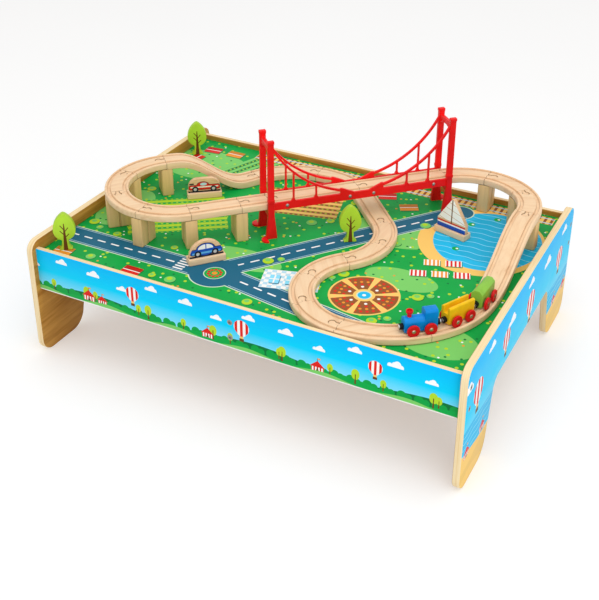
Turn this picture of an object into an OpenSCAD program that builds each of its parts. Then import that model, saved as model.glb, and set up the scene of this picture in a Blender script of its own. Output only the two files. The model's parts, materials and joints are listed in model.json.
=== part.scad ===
// Train table: a low tray-top play table with a wooden railway, a suspension bridge,
// a three-piece train and loose scenery.
// X runs along the long side, Y from front to back, Z up from the floor.

/* [Table] */
// Free board between the railway and the end panels
end_gap = 10.6; // [5:0.1:60]
// Free board between the railway and the rails
side_gap = 0.9; // [0.5:0.1:60]
// Height of the end panels
table_h = 212; // [200:1:320]
// Thickness of the end panels
panel_t = 12; // [10:1:22]
// Radius of the top corners of the end panels
panel_corner = 19; // [5:1:30]
// Width of a leg at the floor
foot_w = 103; // [70:1:140]
// Width of a leg at the top of the arch
leg_w = 130; // [90:1:160]
// Radius of the inner corner of a foot
foot_corner = 32; // [4:1:40]
// Radius of the outer corner of a foot
toe_corner = 24; // [3:1:30]
// Height of the arch between the legs
arch_h = 114; // [80:1:126]
// Radius of the upper corners of the arch
arch_corner = 22; // [8:1:40]
// Thickness of the rails
rail_t = 9; // [9:0.5:18]
// Height of the rails
rail_h = 75; // [72:1:90]
// Drop of the rails below the top of the panels
rail_drop = 13; // [6:1:20]
// Setback of the rails from the panel edges
rail_inset = 9; // [3:1:20]
// Rounding of the long upper edges of the rails
rail_edge = 2; // [1:0.5:4]
// Thickness of the play board
board_t = 5; // [4:0.5:9]
// Drop of the board below the top of the rails
board_drop = 10; // [6:0.5:14]
// Depth of the grooves that hold the board
groove_d = 4; // [2:0.5:5]
// Thickness of the cross-beam under the board
beam_t = 18; // [14:1:30]
// Height of the cross-beam
beam_h = 56; // [48:1:58]

/* [Screws] */
// Shank diameter of the table screws
screw_d = 5; // [4:0.5:6]
// Head diameter of the table screws
screw_head_d = 9; // [7:0.5:11]
// Head height of the table screws, sunk flush
screw_head_h = 2.6; // [1.5:0.1:4]
// Key size of the hexagon socket
screw_key = 4; // [3:0.5:5]
// Length of shank in the far piece
screw_bite = 32; // [20:1:40]
// Rise of the panel screws above and below the middle of the rail
panel_screw_rise = 18; // [12:1:22]
// Rise of the beam screws above and below the middle of the beam
beam_screw_rise = 13.5; // [10:0.5:16]
// Radial clearance of pins and screws in their holes
fit = 0.05; // [0.02:0.01:0.1]

/* [Track] */
// Width of the track
track_w = 40; // [38:0.5:44]
// Thickness of the track
track_t = 12; // [10:0.5:14]
// Width of a rut
rut_w = 6; // [5.8:0.1:6.6]
// Depth of a rut
rut_d = 3; // [2:0.1:4]
// Distance between the middles of the ruts
gauge = 26; // [25:0.5:28]
// Chamfer along the track edges
track_edge = 1.5; // [0.5:0.1:2]
// Diameter of the round knob of a peg
knob_d = 11.5; // [10:0.5:13]
// Width of the neck of a peg
neck_w = 6; // [5:0.5:8]
// Distance of the knob from the end of the piece
knob_reach = 11.5; // [10:0.5:14]
// Play of a peg in its socket
peg_play = 0.4; // [0.3:0.1:0.8]
// Seam between two pieces of track
seam = 0.3; // [0.2:0.1:0.6]

/* [Layout] */
// Distance of the raised loop's middle from the middle of the table, to the left
loop_x = 231.5; // [200:0.5:240]
// Distance of the raised loop's middle from the middle of the table, to the front
loop_y = 45; // [30:0.5:60]
// Radius of the narrow curves
curve_r = 100; // [96:0.5:104]
// Radius of the wide curves at the right front
wide_r = 162; // [156:0.5:168]
// Radius of the curves at the back left
back_r = 127; // [120:0.5:132]
// Radius of the first bend of the winding ramp
snake_r = 130; // [110:1:150]
// Radius of the last bend of the winding ramp
snake_end_r = 290; // [250:1:330]
// Height of the raised track above the board
rise = 51; // [48:0.5:60]
// Length of the raised straight before the bridge, before the circuit is closed
approach_l = 84; // [70:1:95]
// Length of the straight ramp at the right, before the circuit is closed
ramp_run_l = 200; // [180:0.5:220]
// Length of the straight under the bridge, before the circuit is closed
link_run_l = 110.5; // [95:0.5:125]
// Length of the raised straight that ends in the left tower
tower_run_l = 48; // [40:1:60]
// Length of one half of the bridge deck
deck_l = 158.5; // [150:0.5:164]
// Length of the level foot of the winding ramp
snake_foot_l = 14.6; // [12:0.1:30]
// Level length at both ends of the ramps
ramp_level_l = 16; // [14:1:24]
// Turn of the curves that lead back to the middle, in degrees
s_sweep = 86; // [80:1:92]
// Turn of the curves at the back left, in degrees
back_sweep = 110; // [104:1:114]
// Turn of the first bend of the winding ramp, in degrees
snake_sweep = 32; // [28:1:36]

/* [Pillars] */
// Length of a pillar along the track
pillar_l = 20; // [14:1:24]
// Chamfer of the upright edges of a pillar
pillar_edge = 1.5; // [0.5:0.1:3]
// Width of the upright flute in the broad sides of a pillar
flute_w = 3; // [1.5:0.1:5]

/* [Bridge] */
// Height of the towers above the board
tower_h = 175; // [160:1:200]
// Width of a tower leg along the bridge
tower_leg = 9; // [7:0.5:12]
// Thickness of a tower leg across the bridge
tower_leg_t = 5.5; // [4:0.5:12]
// Gap between a tower leg and the track
tower_gap = 0.6; // [0.4:0.1:2]
// Width of a tower foot
flare_w = 17; // [14:0.5:30]
// Height at which a tower foot has narrowed to the leg
flare_h = 42; // [20:1:45]
// Straight height of the foot below its flare
flare_toe = 3; // [2:0.5:6]
// Radius of the half-round tab of a tower foot
tab_r = 9; // [6:0.5:12]
// Thickness of the half-round tab
tab_t = 2.5; // [1.5:0.1:4]
// Height of the strut between the tower legs
strut_h = 15; // [10:0.5:24]
// Drop of the strut below the top of the tower
strut_drop = 10; // [4:0.5:20]
// Thickness of the struts
strut_t = 5; // [3:0.5:8]
// Height of the bar that carries the track in a tower
bar_h = 9; // [6:0.5:14]
// Overhang of the caps and collars around a tower leg
collar_out = 0.6; // [0.5:0.1:2]
// Height of the caps and collars
collar_h = 4; // [2:0.5:6]
// Thickness of the side plates
plate_t = 4; // [3:0.2:6]
// Height of the girder of a side plate
girder_h = 13; // [10:0.5:16]
// Width of the cable band
cable_w = 3.6; // [3:0.2:7]
// Radius of the cable's arc
cable_r = 185; // [160:1:260]
// Length along the deck from the tower to the end of the cable
cable_run = 124; // [105:1:128]
// Height of the cable above the girder at the tower
cable_top = 96; // [76:1:105]
// Height of the cable above the girder at its end
cable_low = 6; // [5:0.5:14]
// Width of a hanger
hanger_w = 2.6; // [2:0.2:5]
// Spacing of the hangers from the tower on
hanger_pitch = 39; // [30:0.5:42]
// Length of the gusset at the end of the cable
gusset_l = 22; // [12:0.5:28]
// Height of the gusset at the end of the cable
gusset_h = 10; // [7:0.5:14]
// Diameter of the bridge screws
stud_d = 3; // [2:0.2:4]
// Head diameter of the bridge screws
stud_head_d = 6; // [4.5:0.1:7]
// Head height of the bridge screws
stud_head_h = 1.6; // [1:0.1:2.5]
// Length of a bridge screw in the deck
stud_bite = 10; // [6:0.5:12]
// Distance of the bridge screws from the tower
stud_out = 28; // [20:0.5:36]
// Distance of the bridge screws from the middle of the bridge
stud_in = 21; // [12:0.5:30]

/* [Train] */
// Wheel diameter
wheel_d = 19; // [16:0.5:20]
// Wheel thickness
wheel_t = 4; // [3.4:0.1:4.2]
// Height of the wheels above the bottom of the ruts
wheel_lift = 0.3; // [0.2:0.05:0.6]
// Axle diameter
axle_d = 3; // [2.4:0.1:3.6]
// Diameter of the domed axle heads
axle_head_d = 6; // [4.5:0.1:7]
// Height of the domed axle heads
axle_head_h = 1.2; // [0.8:0.1:2]
// Distance between the axles of a vehicle
wheel_base = 26; // [24:0.5:28]
// Length of a vehicle body
car_l = 49; // [46:0.5:56]
// Width of a vehicle body
car_w = 17.5; // [15:0.5:20.6]
// Height of the body's underside above the track
car_lift = 3; // [2:0.2:4]
// Rounding of the corners of the bodies
car_round = 2.5; // [1:0.1:4]
// Height of the cab roof above the track
cab_top = 34.5; // [30:0.5:46]
// Length of the cab
cab_l = 19; // [15:0.5:22]
// Height of the boiler's middle above the track
boiler_mid = 16; // [13:0.5:18]
// Height of the funnel above the boiler
funnel_h = 10; // [8:0.5:18]
// Upper diameter of the funnel
funnel_d = 10.5; // [9:0.5:15]
// Diameter of the funnel's pin and foot
funnel_foot_d = 6.4; // [5:0.2:8]
// Height of the hopper wagon above the track
hopper_top = 29.5; // [24:0.5:34]
// Width of the trough in the hopper wagon
trough_w = 8.6; // [7:0.2:12]
// Depth of the trough in the hopper wagon
trough_d = 11; // [8:0.5:16]
// Height of the box wagon above the track
box_top = 30; // [26:0.5:36]
// Bevel of the roof of the box wagon
roof_bevel = 5; // [3:0.5:7]
// Diameter of the coupling cups
cup_d = 9.5; // [8:0.5:11]
// Length of the coupling cups
cup_l = 5.5; // [3:0.1:7]
// Height of the couplings above the track
cup_mid = 9; // [8:0.5:11]
// Diameter of the coupling magnets
magnet_d = 7; // [5:0.1:8]
// Thickness of the coupling magnets
magnet_t = 3; // [2:0.1:3.5]
// Length of magnet that stands out of its cup
magnet_out = 1.5; // [0.6:0.1:1.6]
// Gap between coupled magnets at their nearest edges
magnet_gap = 0.5; // [0.4:0.1:2]
// Place of the engine on the wide curve, in degrees from its start
train_at = -49; // [-60:0.5:-44]

/* [Trees] */
// Height of a tree
tree_h = 66; // [55:1:80]
// Width of a tree's crown
tree_w = 36; // [28:1:40]
// Thickness of a tree
tree_t = 10; // [8:0.5:14]
// Width of a tree's foot
tree_foot_w = 21; // [16:0.5:28]
// Height of a tree's foot up to the narrowest part
tree_foot_h = 12; // [8:0.5:14]
// Width of a tree at its narrowest part
tree_neck_w = 11; // [8:0.5:14]
// Radius of the crown's tip
tree_tip_r = 5; // [3:0.5:8]

/* [Blocks] */
// Length of the base of a block
block_l = 61; // [54:1:68]
// Depth of the base of a block
block_d = 19; // [15:0.5:24]
// Height of the base of a block
block_h = 11; // [8:0.5:14]
// Thickness of the upright board of a block
block_board_t = 8; // [6:0.5:10]
// Depth of the slot that holds the upright board
block_slot = 4; // [2:0.5:6]
// Clearance at both sides of the board's edge, inside grooves and slots
seat_play = 0.2; // [0.1:0.05:0.4]
// Height of the arched car board above the base
arc_board_h = 28; // [22:0.5:29]
// Height of the race-car board above the base
race_board_h = 26; // [20:0.5:30]
// Corner radius of the race-car board
race_round = 17; // [8:0.5:20]
// Height of the sail's tip above the base
sail_h = 55; // [44:0.5:62]
// Height of the hull part of the sailboat board
hull_h = 15; // [10:0.5:20]
// Radius of the sail's tip
sail_tip_r = 3.5; // [2:0.5:6]

/* [Hidden] */
$fn = 96;
// Cuts run past the faces that they open
over = 0.5;

// Poses along the railway: [x, y, heading]
function ahead(p, d) = [p.x + d * cos(p[2]), p.y + d * sin(p[2]), p[2]];
function turn_side(a) = a < 0 ? -1 : 1;
function turn(p, r, a) =
    let (s = turn_side(a))
    [
        p.x + s * r * (sin(p[2] + a) - sin(p[2])),
        p.y - s * r * (cos(p[2] + a) - cos(p[2])),
        p[2] + a
    ];

corner_a = 45;
loop_start_a = 135;
loop_n = 4;
right_n = 3;
front_n = 3;
half_n = 2;
loop_c = [-loop_x, -loop_y];
loop_pose = [
    loop_c.x + curve_r * cos(loop_start_a),
    loop_c.y + curve_r * sin(loop_start_a),
    loop_start_a + 90
];
approach_pose = turn(loop_pose, curve_r, loop_n * corner_a);

// The circuit with its three straights as set, and the gap that they leave
ramp_step = turn(
    ahead(approach_pose, approach_l + tower_run_l + 2 * deck_l),
    curve_r, -right_n * corner_a
);
wide_step = turn(ahead(ramp_step, ramp_run_l), wide_r, -half_n * corner_a);
front_step = turn(wide_step, curve_r, -front_n * corner_a);
s_step = turn(front_step, curve_r, s_sweep);
back_step = turn(ahead(s_step, link_run_l), back_r, back_sweep);
bend_step = turn(ahead(back_step, snake_foot_l), snake_r, -snake_sweep);
snake_end_sweep = loop_pose[2] - bend_step[2];
snake_step = turn(bend_step, snake_end_r, snake_end_sweep);
gap = [loop_pose.x - snake_step.x, loop_pose.y - snake_step.y];

// The longer straights take more of the gap, so that the circuit closes
runs = [approach_l, ramp_run_l, link_run_l];
pulls = [for (l = runs) l * l];
ways = [for (a = [approach_pose[2], ramp_step[2], s_step[2]]) [cos(a), sin(a)]];
pull_xx = [for (w = ways) w.x * w.x] * pulls;
pull_xy = [for (w = ways) w.x * w.y] * pulls;
pull_yy = [for (w = ways) w.y * w.y] * pulls;
pull_all = pull_xx * pull_yy - pull_xy * pull_xy;
pull = [gap.x * pull_yy - gap.y * pull_xy, gap.y * pull_xx - gap.x * pull_xy] / pull_all;
function closing(i) = runs[i] + pulls[i] * (ways[i] * pull);
approach_run = closing(0);
ramp_l = closing(1);
link_l = closing(2);

tower_run_pose = ahead(approach_pose, approach_run);
bridge_pose = ahead(tower_run_pose, tower_run_l);
mid_pose = ahead(bridge_pose, deck_l);
right_pose = ahead(mid_pose, deck_l);
ramp_pose = turn(right_pose, curve_r, -right_n * corner_a);
wide_pose = ahead(ramp_pose, ramp_l);
front_pose = turn(wide_pose, wide_r, -half_n * corner_a);
s_pose = turn(front_pose, curve_r, -front_n * corner_a);
link_pose = turn(s_pose, curve_r, s_sweep);
back_pose = ahead(link_pose, link_l);
snake_pose = turn(back_pose, back_r, back_sweep);
right_c = [ramp_pose.x - curve_r, ramp_pose.y];
function left_of(p, r) = [p.x - r * sin(p[2]), p.y + r * cos(p[2])];
s_c = left_of(s_pose, curve_r);
back_c = left_of(back_pose, back_r);

// The table goes round the railway
reach_x = max(ramp_pose.x, curve_r + loop_x) + track_w / 2;
reach_y = max(right_c.y + curve_r, back_c.y + back_r, -front_pose.y) + track_w / 2;
bay_x = reach_x + end_gap;
bay_y = reach_y + side_gap;
table_l = 2 * (bay_x + panel_t);
table_d = 2 * (bay_y + rail_t + rail_inset);

// Levels of the table
rail_top = table_h - rail_drop;
rail_z = rail_top - rail_h;
board_z = rail_top - board_drop;
board_low = board_z - board_t;
beam_z = board_low - beam_h;
rail_y = bay_y + rail_t / 2;
rail_mid_z = rail_z + rail_h / 2;
beam_mid_z = beam_z + beam_h / 2;
key_d = screw_key / cos(30);
key_deep = screw_head_h / 2;

// Lean of the legs' inner edges
arch_foot = table_d / 2 - foot_w;
arch_top = table_d / 2 - leg_w;
arch_lean = atan((arch_foot - arch_top) / arch_h);

// Levels of the railway
track_top = board_z + track_t;
raised_z = board_z + rise;
peg_step = track_edge;

// Winding ramp in its own frame, from its foot along X
snake_bend = ahead([0, 0, 0], snake_foot_l);
snake_mid = turn(snake_bend, snake_r, -snake_sweep);
snake_end = turn(snake_mid, snake_end_r, snake_end_sweep);
snake_axis = atan2(snake_end.y, snake_end.x);
snake_chord = norm([snake_end.x, snake_end.y]);
snake_level = ramp_level_l + snake_foot_l / 2;
ramp_steps = 14;

// Bridge
tower_y = track_w / 2 + tower_gap + tower_leg_t / 2;
tower_pier = rise + track_t / 2;
plate_y = track_w / 2;
plate_start = tower_leg / 2;
plate_z = rise + track_t / 2 - girder_h / 2;
girder_top = plate_z + girder_h;
stud_z = track_t / 2;

// The cable's circle goes through its two ends
cable_a = [plate_start, girder_top + cable_top];
cable_b = [cable_run, girder_top + cable_low];
cable_half = norm(cable_b - cable_a) / 2;
cable_dir = (cable_b - cable_a) / (2 * cable_half);
cable_up = sqrt(cable_r * cable_r - cable_half * cable_half);
cable_c = (cable_a + cable_b) / 2 + cable_up * [-cable_dir.y, cable_dir.x];
function cable_z(x) = cable_c.y - sqrt(cable_r * cable_r - (x - cable_c.x) * (x - cable_c.x));

// Train
wheel_z = wheel_d / 2 + wheel_lift - rut_d;
ride_r = sqrt(wide_r * wide_r - wheel_base * wheel_base / 4);
wide_c = [wide_pose.x - wide_r, wide_pose.y];
car_end = car_l / 2 + cup_l + magnet_out;
train_pitch = 2 * atan((car_end + magnet_gap / 2) / (ride_r - magnet_d / 2));
axle_l = gauge + wheel_t;
boiler_r = car_w / 2;
cab_x = cab_l - car_l / 2;
funnel_x = car_l / 2 - boiler_r;
funnel_pin = boiler_r / 2;

// Tree crown: an egg of four arcs
crown_r = tree_w / 2;
crown_tip_z = sqrt(pow(2 * crown_r - tree_tip_r, 2) - pow(crown_r, 2));
crown_z = tree_h - tree_tip_r - crown_tip_z;
crown_cut_z = 2 * crown_r * crown_tip_z / (2 * crown_r - tree_tip_r);

// Places of the loose pieces: [x, y, heading], from a middle and shares of a reach
function spot(c, shares, reach, a) = [c.x + shares.x * reach.x, c.y + shares.y * reach.y, a];
tree_a = 35;
blue_car_a = 49;
race_car_a = 38;
sailboat_a = -15.7;
tree_front_shares = [-0.911, -0.891];
tree_back_shares = [-0.933, 0.742];
tree_middle_share = 0.33;
blue_car_shares = [1.235, -1.065];
race_car_shares = [0.015, 0.84];
sailboat_shares = [-0.174, -0.191];
bay = [bay_x, bay_y];
bend = [curve_r, curve_r];
tree_front_pose = spot([0, 0], tree_front_shares, bay, tree_a);
tree_back_pose = spot([0, 0], tree_back_shares, bay, tree_a);
bridge_way = [cos(bridge_pose[2]), sin(bridge_pose[2])];
bridge_side = [bridge_way.y, -bridge_way.x];
s_out = s_c - [bridge_pose.x, bridge_pose.y];
tree_middle_at = [bridge_pose.x, bridge_pose.y]
    + (s_out * bridge_way + tree_middle_share * curve_r) * bridge_way
    + (s_out * bridge_side + curve_r) / 2 * bridge_side;
tree_middle_pose = [tree_middle_at.x, tree_middle_at.y, tree_a];
blue_car_pose = spot(loop_c, blue_car_shares, bend, blue_car_a);
race_car_pose = spot(loop_c, race_car_shares, bend, race_car_a);
sailboat_pose = spot(right_c, sailboat_shares, bend, sailboat_a);

// Colours of the materials
panel_colour = "#f1e3c6";
rail_colour = "#5fb4e6";
board_colour = "#8cc152";
beech_colour = "#e6c39a";
red_colour = "#d8201f";
blue_colour = "#1c4fa3";
yellow_colour = "#f2b705";
green_colour = "#2f8f3a";
lime_colour = "#8fc31f";
black_colour = "#1d1d1f";
steel_colour = "#b9bcc0";

// Helpers

module at(p, z = 0) {
    translate([p.x, p.y, z]) rotate([0, 0, p[2]]) children();
}

// Waste outside a quarter round at a corner that points to +x +y
module corner_waste(r) {
    difference() {
        square(r + over);
        circle(r);
    }
}

// Table screw along +X from the face that its head is flush with
module table_screw(l) {
    rotate([0, 90, 0]) difference() {
        union() {
            cylinder(d = screw_head_d, h = screw_head_h);
            cylinder(d = screw_d, h = l);
        }
        translate([0, 0, -over]) cylinder(d = key_d, h = key_deep + over, $fn = 6);
    }
}

// Counterbored hole for a table screw, along +X from the outer face
module screw_hole(l) {
    rotate([0, 90, 0]) translate([0, 0, -over]) {
        cylinder(d = screw_head_d + 2 * fit, h = screw_head_h + over);
        cylinder(d = screw_d + 2 * fit, h = l + over);
    }
}

// Table

// Fillet between the lean of a leg and a level line, seen along the panel
function lean_x(z) = arch_foot - z * tan(arch_lean);
function fillet_x(z, r) = lean_x(z) - r / cos(arch_lean);

module arch_half() {
    cx = fillet_x(arch_h - arch_corner, arch_corner);
    cz = arch_h - arch_corner;
    polygon([
        [0, -over],
        [lean_x(-over), -over],
        [cx + arch_corner * cos(arch_lean), cz + arch_corner * sin(arch_lean)],
        [cx, cz],
        [cx, arch_h],
        [0, arch_h]
    ]);
    translate([cx, cz]) circle(arch_corner);
    foot_x = lean_x(foot_corner) + foot_corner / cos(arch_lean);
    difference() {
        polygon([
            [lean_x(-over) - over, -over],
            [foot_x, -over],
            [foot_x, foot_corner],
            [
                foot_x - foot_corner * cos(arch_lean),
                foot_corner - foot_corner * sin(arch_lean)
            ]
        ]);
        translate([foot_x, foot_corner]) circle(foot_corner);
    }
}

module panel_profile() {
    difference() {
        translate([-table_d / 2, 0]) square([table_d, table_h]);
        for (s = [0, 1]) mirror([s, 0]) {
            translate([table_d / 2 - panel_corner, table_h - panel_corner])
                corner_waste(panel_corner);
            translate([table_d / 2 - toe_corner, toe_corner])
                mirror([0, 1]) corner_waste(toe_corner);
            arch_half();
        }
    }
}

module at_panel_screws() {
    for (y = [-rail_y, rail_y], z = [-panel_screw_rise, panel_screw_rise])
        translate([-table_l / 2, y, rail_mid_z + z]) children();
}

module end_panel() {
    difference() {
        translate([-table_l / 2, 0, 0]) rotate([90, 0, 90])
            linear_extrude(panel_t) panel_profile();
        translate([-bay_x - groove_d, -bay_y - groove_d, board_low])
            cube([groove_d + over, 2 * (bay_y + groove_d), board_t]);
        at_panel_screws() screw_hole(panel_t + over);
    }
}

module left_panel() {
    color(panel_colour) end_panel();
}

module right_panel() {
    color(panel_colour) mirror([1, 0, 0]) end_panel();
}

// Section of a rail, seen along the table, with its inner face at y = 0
module rail_profile() {
    difference() {
        translate([-rail_t, 0]) square([rail_t, rail_h]);
        translate([-rail_edge, rail_h - rail_edge]) corner_waste(rail_edge);
        translate([rail_edge - rail_t, rail_h - rail_edge])
            mirror([1, 0]) corner_waste(rail_edge);
        translate([-groove_d, board_low - rail_z]) square([groove_d + over, board_t]);
    }
}

module at_beam_screws() {
    for (z = [-beam_screw_rise, beam_screw_rise])
        translate([0, -bay_y - rail_t, beam_mid_z + z]) rotate([0, 0, 90]) children();
}

module rail() {
    difference() {
        translate([-bay_x, -bay_y, rail_z]) rotate([90, 0, 90])
            linear_extrude(2 * bay_x) rail_profile();
        for (s = [0, 1]) mirror([s, 0, 0]) at_panel_screws()
            screw_hole(panel_t + screw_bite);
        at_beam_screws() screw_hole(rail_t + over);
    }
}

module front_rail() {
    color(rail_colour) rail();
}

module back_rail() {
    color(rail_colour) mirror([0, 1, 0]) rail();
}

module play_board() {
    reach_x = bay_x + groove_d - seat_play;
    reach_y = bay_y + groove_d - seat_play;
    color(board_colour) translate([-reach_x, -reach_y, board_low])
        cube([2 * reach_x, 2 * reach_y, board_t]);
}

module centre_beam() {
    color(beech_colour) difference() {
        translate([-beam_t / 2, -bay_y, beam_z]) cube([beam_t, 2 * bay_y, beam_h]);
        for (s = [0, 1]) mirror([0, s, 0]) at_beam_screws()
            screw_hole(rail_t + screw_bite);
    }
}

module panel_screws() {
    color(steel_colour) for (s = [0, 1]) mirror([s, 0, 0]) at_panel_screws()
        table_screw(panel_t + screw_bite - over);
}

module beam_screws() {
    color(steel_colour) for (s = [0, 1]) mirror([0, s, 0]) at_beam_screws()
        table_screw(rail_t + screw_bite - over);
}

// Railway

module track_section() {
    side = track_w / 2;
    rut_in = gauge / 2 - rut_w / 2;
    rut_out = gauge / 2 + rut_w / 2;
    half = [
        [side - track_edge, 0],
        [side, track_edge],
        [side, track_t - track_edge],
        [side - track_edge, track_t],
        [rut_out, track_t],
        [rut_out, track_t - rut_d],
        [rut_in, track_t - rut_d],
        [rut_in, track_t]
    ];
    last = len(half) - 1;
    polygon([
        for (p = half) p,
        for (i = [last:-1:0]) [-half[i].x, half[i].y]
    ]);
}

// Peg that stands out of the end of a piece, along +X
module peg() {
    translate([-peg_step, -neck_w / 2, peg_step])
        cube([peg_step + knob_reach, neck_w, track_t - 2 * peg_step]);
    translate([knob_reach, 0, peg_step])
        cylinder(d = knob_d, h = track_t - 2 * peg_step);
}

// Seam and room for the neighbour's peg at the start of a piece
module socket() {
    slot_w = neck_w + 2 * peg_play;
    translate([-over, -track_w, -over])
        cube([seam + over, 2 * track_w, track_t + 2 * over]);
    translate([-over, -slot_w / 2, -over])
        cube([knob_reach + over, slot_w, track_t + 2 * over]);
    translate([knob_reach, 0, -over])
        cylinder(d = knob_d + 2 * peg_play, h = track_t + 2 * over);
}

module straight_track(l) {
    difference() {
        rotate([90, 0, 90]) linear_extrude(l) track_section();
        socket();
    }
    translate([l, 0, 0]) peg();
}

// Sweep of a section along an arc that leaves the origin along +X
module arc_sweep(r, a) {
    s = turn_side(a);
    translate([0, s * r, 0]) rotate([0, 0, s > 0 ? -90 : 90 + a])
        rotate_extrude(angle = abs(a)) translate([r, 0]) children();
}

module curve_track(r, a) {
    difference() {
        arc_sweep(r, a) track_section();
        socket();
    }
    at(turn([0, 0, 0], r, a)) peg();
}

// Curves laid end to end from a pose
module curve_run(p, z, r, a, n) {
    for (i = [0:n - 1]) at(turn(p, r, a * i / n), z) curve_track(r, a / n);
}

// Height of a ramp at a share of its slope
function slope(t) = rise * (1 - cos(180 * min(1, max(0, t)))) / 2;

// Side view of a ramp that climbs along +X, between two heights over its underside
module ramp_side(l, level, low, high) {
    step = (l - 2 * level) / ramp_steps;
    xs = [-track_w, for (i = [0:ramp_steps]) level + i * step, l + track_w];
    last = len(xs) - 1;
    polygon([
        for (x = xs) [x, slope((x - level) / (l - 2 * level)) + low],
        for (i = [last:-1:0])
            [xs[i], slope((xs[i] - level) / (l - 2 * level)) + high]
    ]);
}

// Solid band under or over a ramp, as wide as asked
module ramp_band(l, level, w, low, high) {
    rotate([90, 0, 0]) linear_extrude(w, center = true) ramp_side(l, level, low, high);
}

module right_ramp() {
    color(beech_colour) at(wide_pose, board_z) rotate([0, 0, 180]) {
        difference() {
            intersection() {
                ramp_band(ramp_l, ramp_level_l, track_w, 0, track_t);
                translate([0, -track_w, -over])
                    cube([ramp_l, 2 * track_w, rise + track_t + 2 * over]);
            }
            for (s = [-1, 1]) translate([0, s * gauge / 2, 0])
                ramp_band(ramp_l, ramp_level_l, rut_w, track_t - rut_d, track_t + over);
            translate([ramp_l, 0, rise]) rotate([0, 0, 180]) socket();
        }
        rotate([0, 0, 180]) peg();
    }
}

// Plan of the winding ramp as an upright band
module snake_plan(w, shift, z0, z1) {
    h = z1 - z0;
    translate([0, shift - w / 2, z0]) cube([snake_foot_l, w, h]);
    at(snake_bend) arc_sweep(snake_r, -snake_sweep)
        translate([shift - w / 2, z0]) square([w, h]);
    at(snake_mid) arc_sweep(snake_end_r, snake_end_sweep)
        translate([-shift - w / 2, z0]) square([w, h]);
}

module snake_ramp() {
    top_z = rise + track_t + over;
    color(beech_colour) at(snake_pose, board_z) {
        difference() {
            intersection() {
                snake_plan(track_w, 0, 0, top_z);
                rotate([0, 0, snake_axis])
                    ramp_band(snake_chord, snake_level, 2 * track_w, 0, track_t);
            }
            for (s = [-1, 1]) intersection() {
                snake_plan(rut_w, s * gauge / 2, 0, top_z);
                rotate([0, 0, snake_axis]) ramp_band(
                    snake_chord, snake_level, 2 * track_w, track_t - rut_d, track_t + over
                );
            }
            socket();
        }
        at(snake_end, rise) peg();
    }
}

module loop_curves() {
    color(beech_colour) curve_run(loop_pose, raised_z, curve_r, loop_n * corner_a, loop_n);
}

module approach_tracks() {
    color(beech_colour) {
        at(approach_pose, raised_z) straight_track(approach_run);
        at(tower_run_pose, raised_z) straight_track(tower_run_l);
    }
}

module right_curves() {
    color(beech_colour) curve_run(right_pose, raised_z, curve_r, -right_n * corner_a, right_n);
}

module wide_curves() {
    color(beech_colour) curve_run(wide_pose, board_z, wide_r, -half_n * corner_a, half_n);
}

module front_curves() {
    color(beech_colour) curve_run(front_pose, board_z, curve_r, -front_n * corner_a, front_n);
}

module s_curves() {
    color(beech_colour) curve_run(s_pose, board_z, curve_r, s_sweep, half_n);
}

module link_track() {
    color(beech_colour) at(link_pose, board_z) straight_track(link_l);
}

module back_curves() {
    color(beech_colour) curve_run(back_pose, board_z, back_r, back_sweep, half_n);
}

// Pillar across the track, with a flute in each broad side
module pillar() {
    side = track_w / 2;
    end = pillar_l / 2;
    difference() {
        linear_extrude(rise) polygon([
            for (s = [[1, 1], [-1, 1], [-1, -1], [1, -1]], k = [0, 1])
                let (first = (s.x * s.y > 0) == (k == 0))
                [
                    s.x * (end - (first ? 0 : pillar_edge)),
                    s.y * (side - (first ? pillar_edge : 0))
                ]
        ]);
        for (s = [-1, 1]) translate([s * end, 0, -over])
            cylinder(d = flute_w, h = rise + 2 * over);
    }
}

module pillars() {
    poses = [
        for (i = [0:loop_n]) turn(loop_pose, curve_r, i * corner_a),
        tower_run_pose,
        for (i = [1:right_n]) turn(right_pose, curve_r, -i * corner_a)
    ];
    color(beech_colour) for (p = poses) at(p, board_z) pillar();
}

// Bridge, in a frame that starts in the left tower and runs along the deck

module at_bridge() {
    at(bridge_pose, board_z) children();
}

module stud_hole(l) {
    rotate([-90, 0, 0]) translate([0, 0, -over])
        cylinder(d = stud_d + 2 * fit, h = l + over);
}

// Places of the screws of one deck half, on its front face
module at_deck_studs() {
    for (x = [stud_out, deck_l - stud_in]) translate([x, -track_w / 2, rise + stud_z])
        children();
}

module deck_half() {
    difference() {
        children();
        for (s = [0, 1]) mirror([0, s, 0]) at_deck_studs() stud_hole(stud_bite);
    }
}

module deck_left() {
    color(beech_colour) at_bridge() deck_half()
        translate([0, 0, rise]) straight_track(deck_l);
}

module deck_right() {
    color(beech_colour) at_bridge() translate([2 * deck_l, 0, 0]) mirror([1, 0, 0])
        deck_half() translate([deck_l, 0, rise]) mirror([1, 0, 0]) straight_track(deck_l);
}

module tower_leg_shape() {
    foot = flare_w / 2;
    leg = tower_leg / 2;
    rotate([90, 0, 0]) linear_extrude(tower_leg_t, center = true) polygon([
        [-foot, 0], [foot, 0], [foot, flare_toe], [leg, flare_h],
        [leg, tower_h], [-leg, tower_h], [-leg, flare_h], [-foot, flare_toe]
    ]);
    difference() {
        translate([-foot, tab_r - tower_leg_t / 2, 0]) cylinder(r = tab_r, h = tab_t);
        translate([-foot, -tab_r, -over])
            cube([tab_r + over, 4 * tab_r, tab_t + 2 * over]);
    }
}

// Cap and collar around the outer three sides of a leg
module leg_band(z) {
    wide = tower_leg + 2 * collar_out;
    translate([-wide / 2, -tower_leg_t / 2, z])
        cube([wide, tower_leg_t + collar_out, collar_h]);
}

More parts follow.
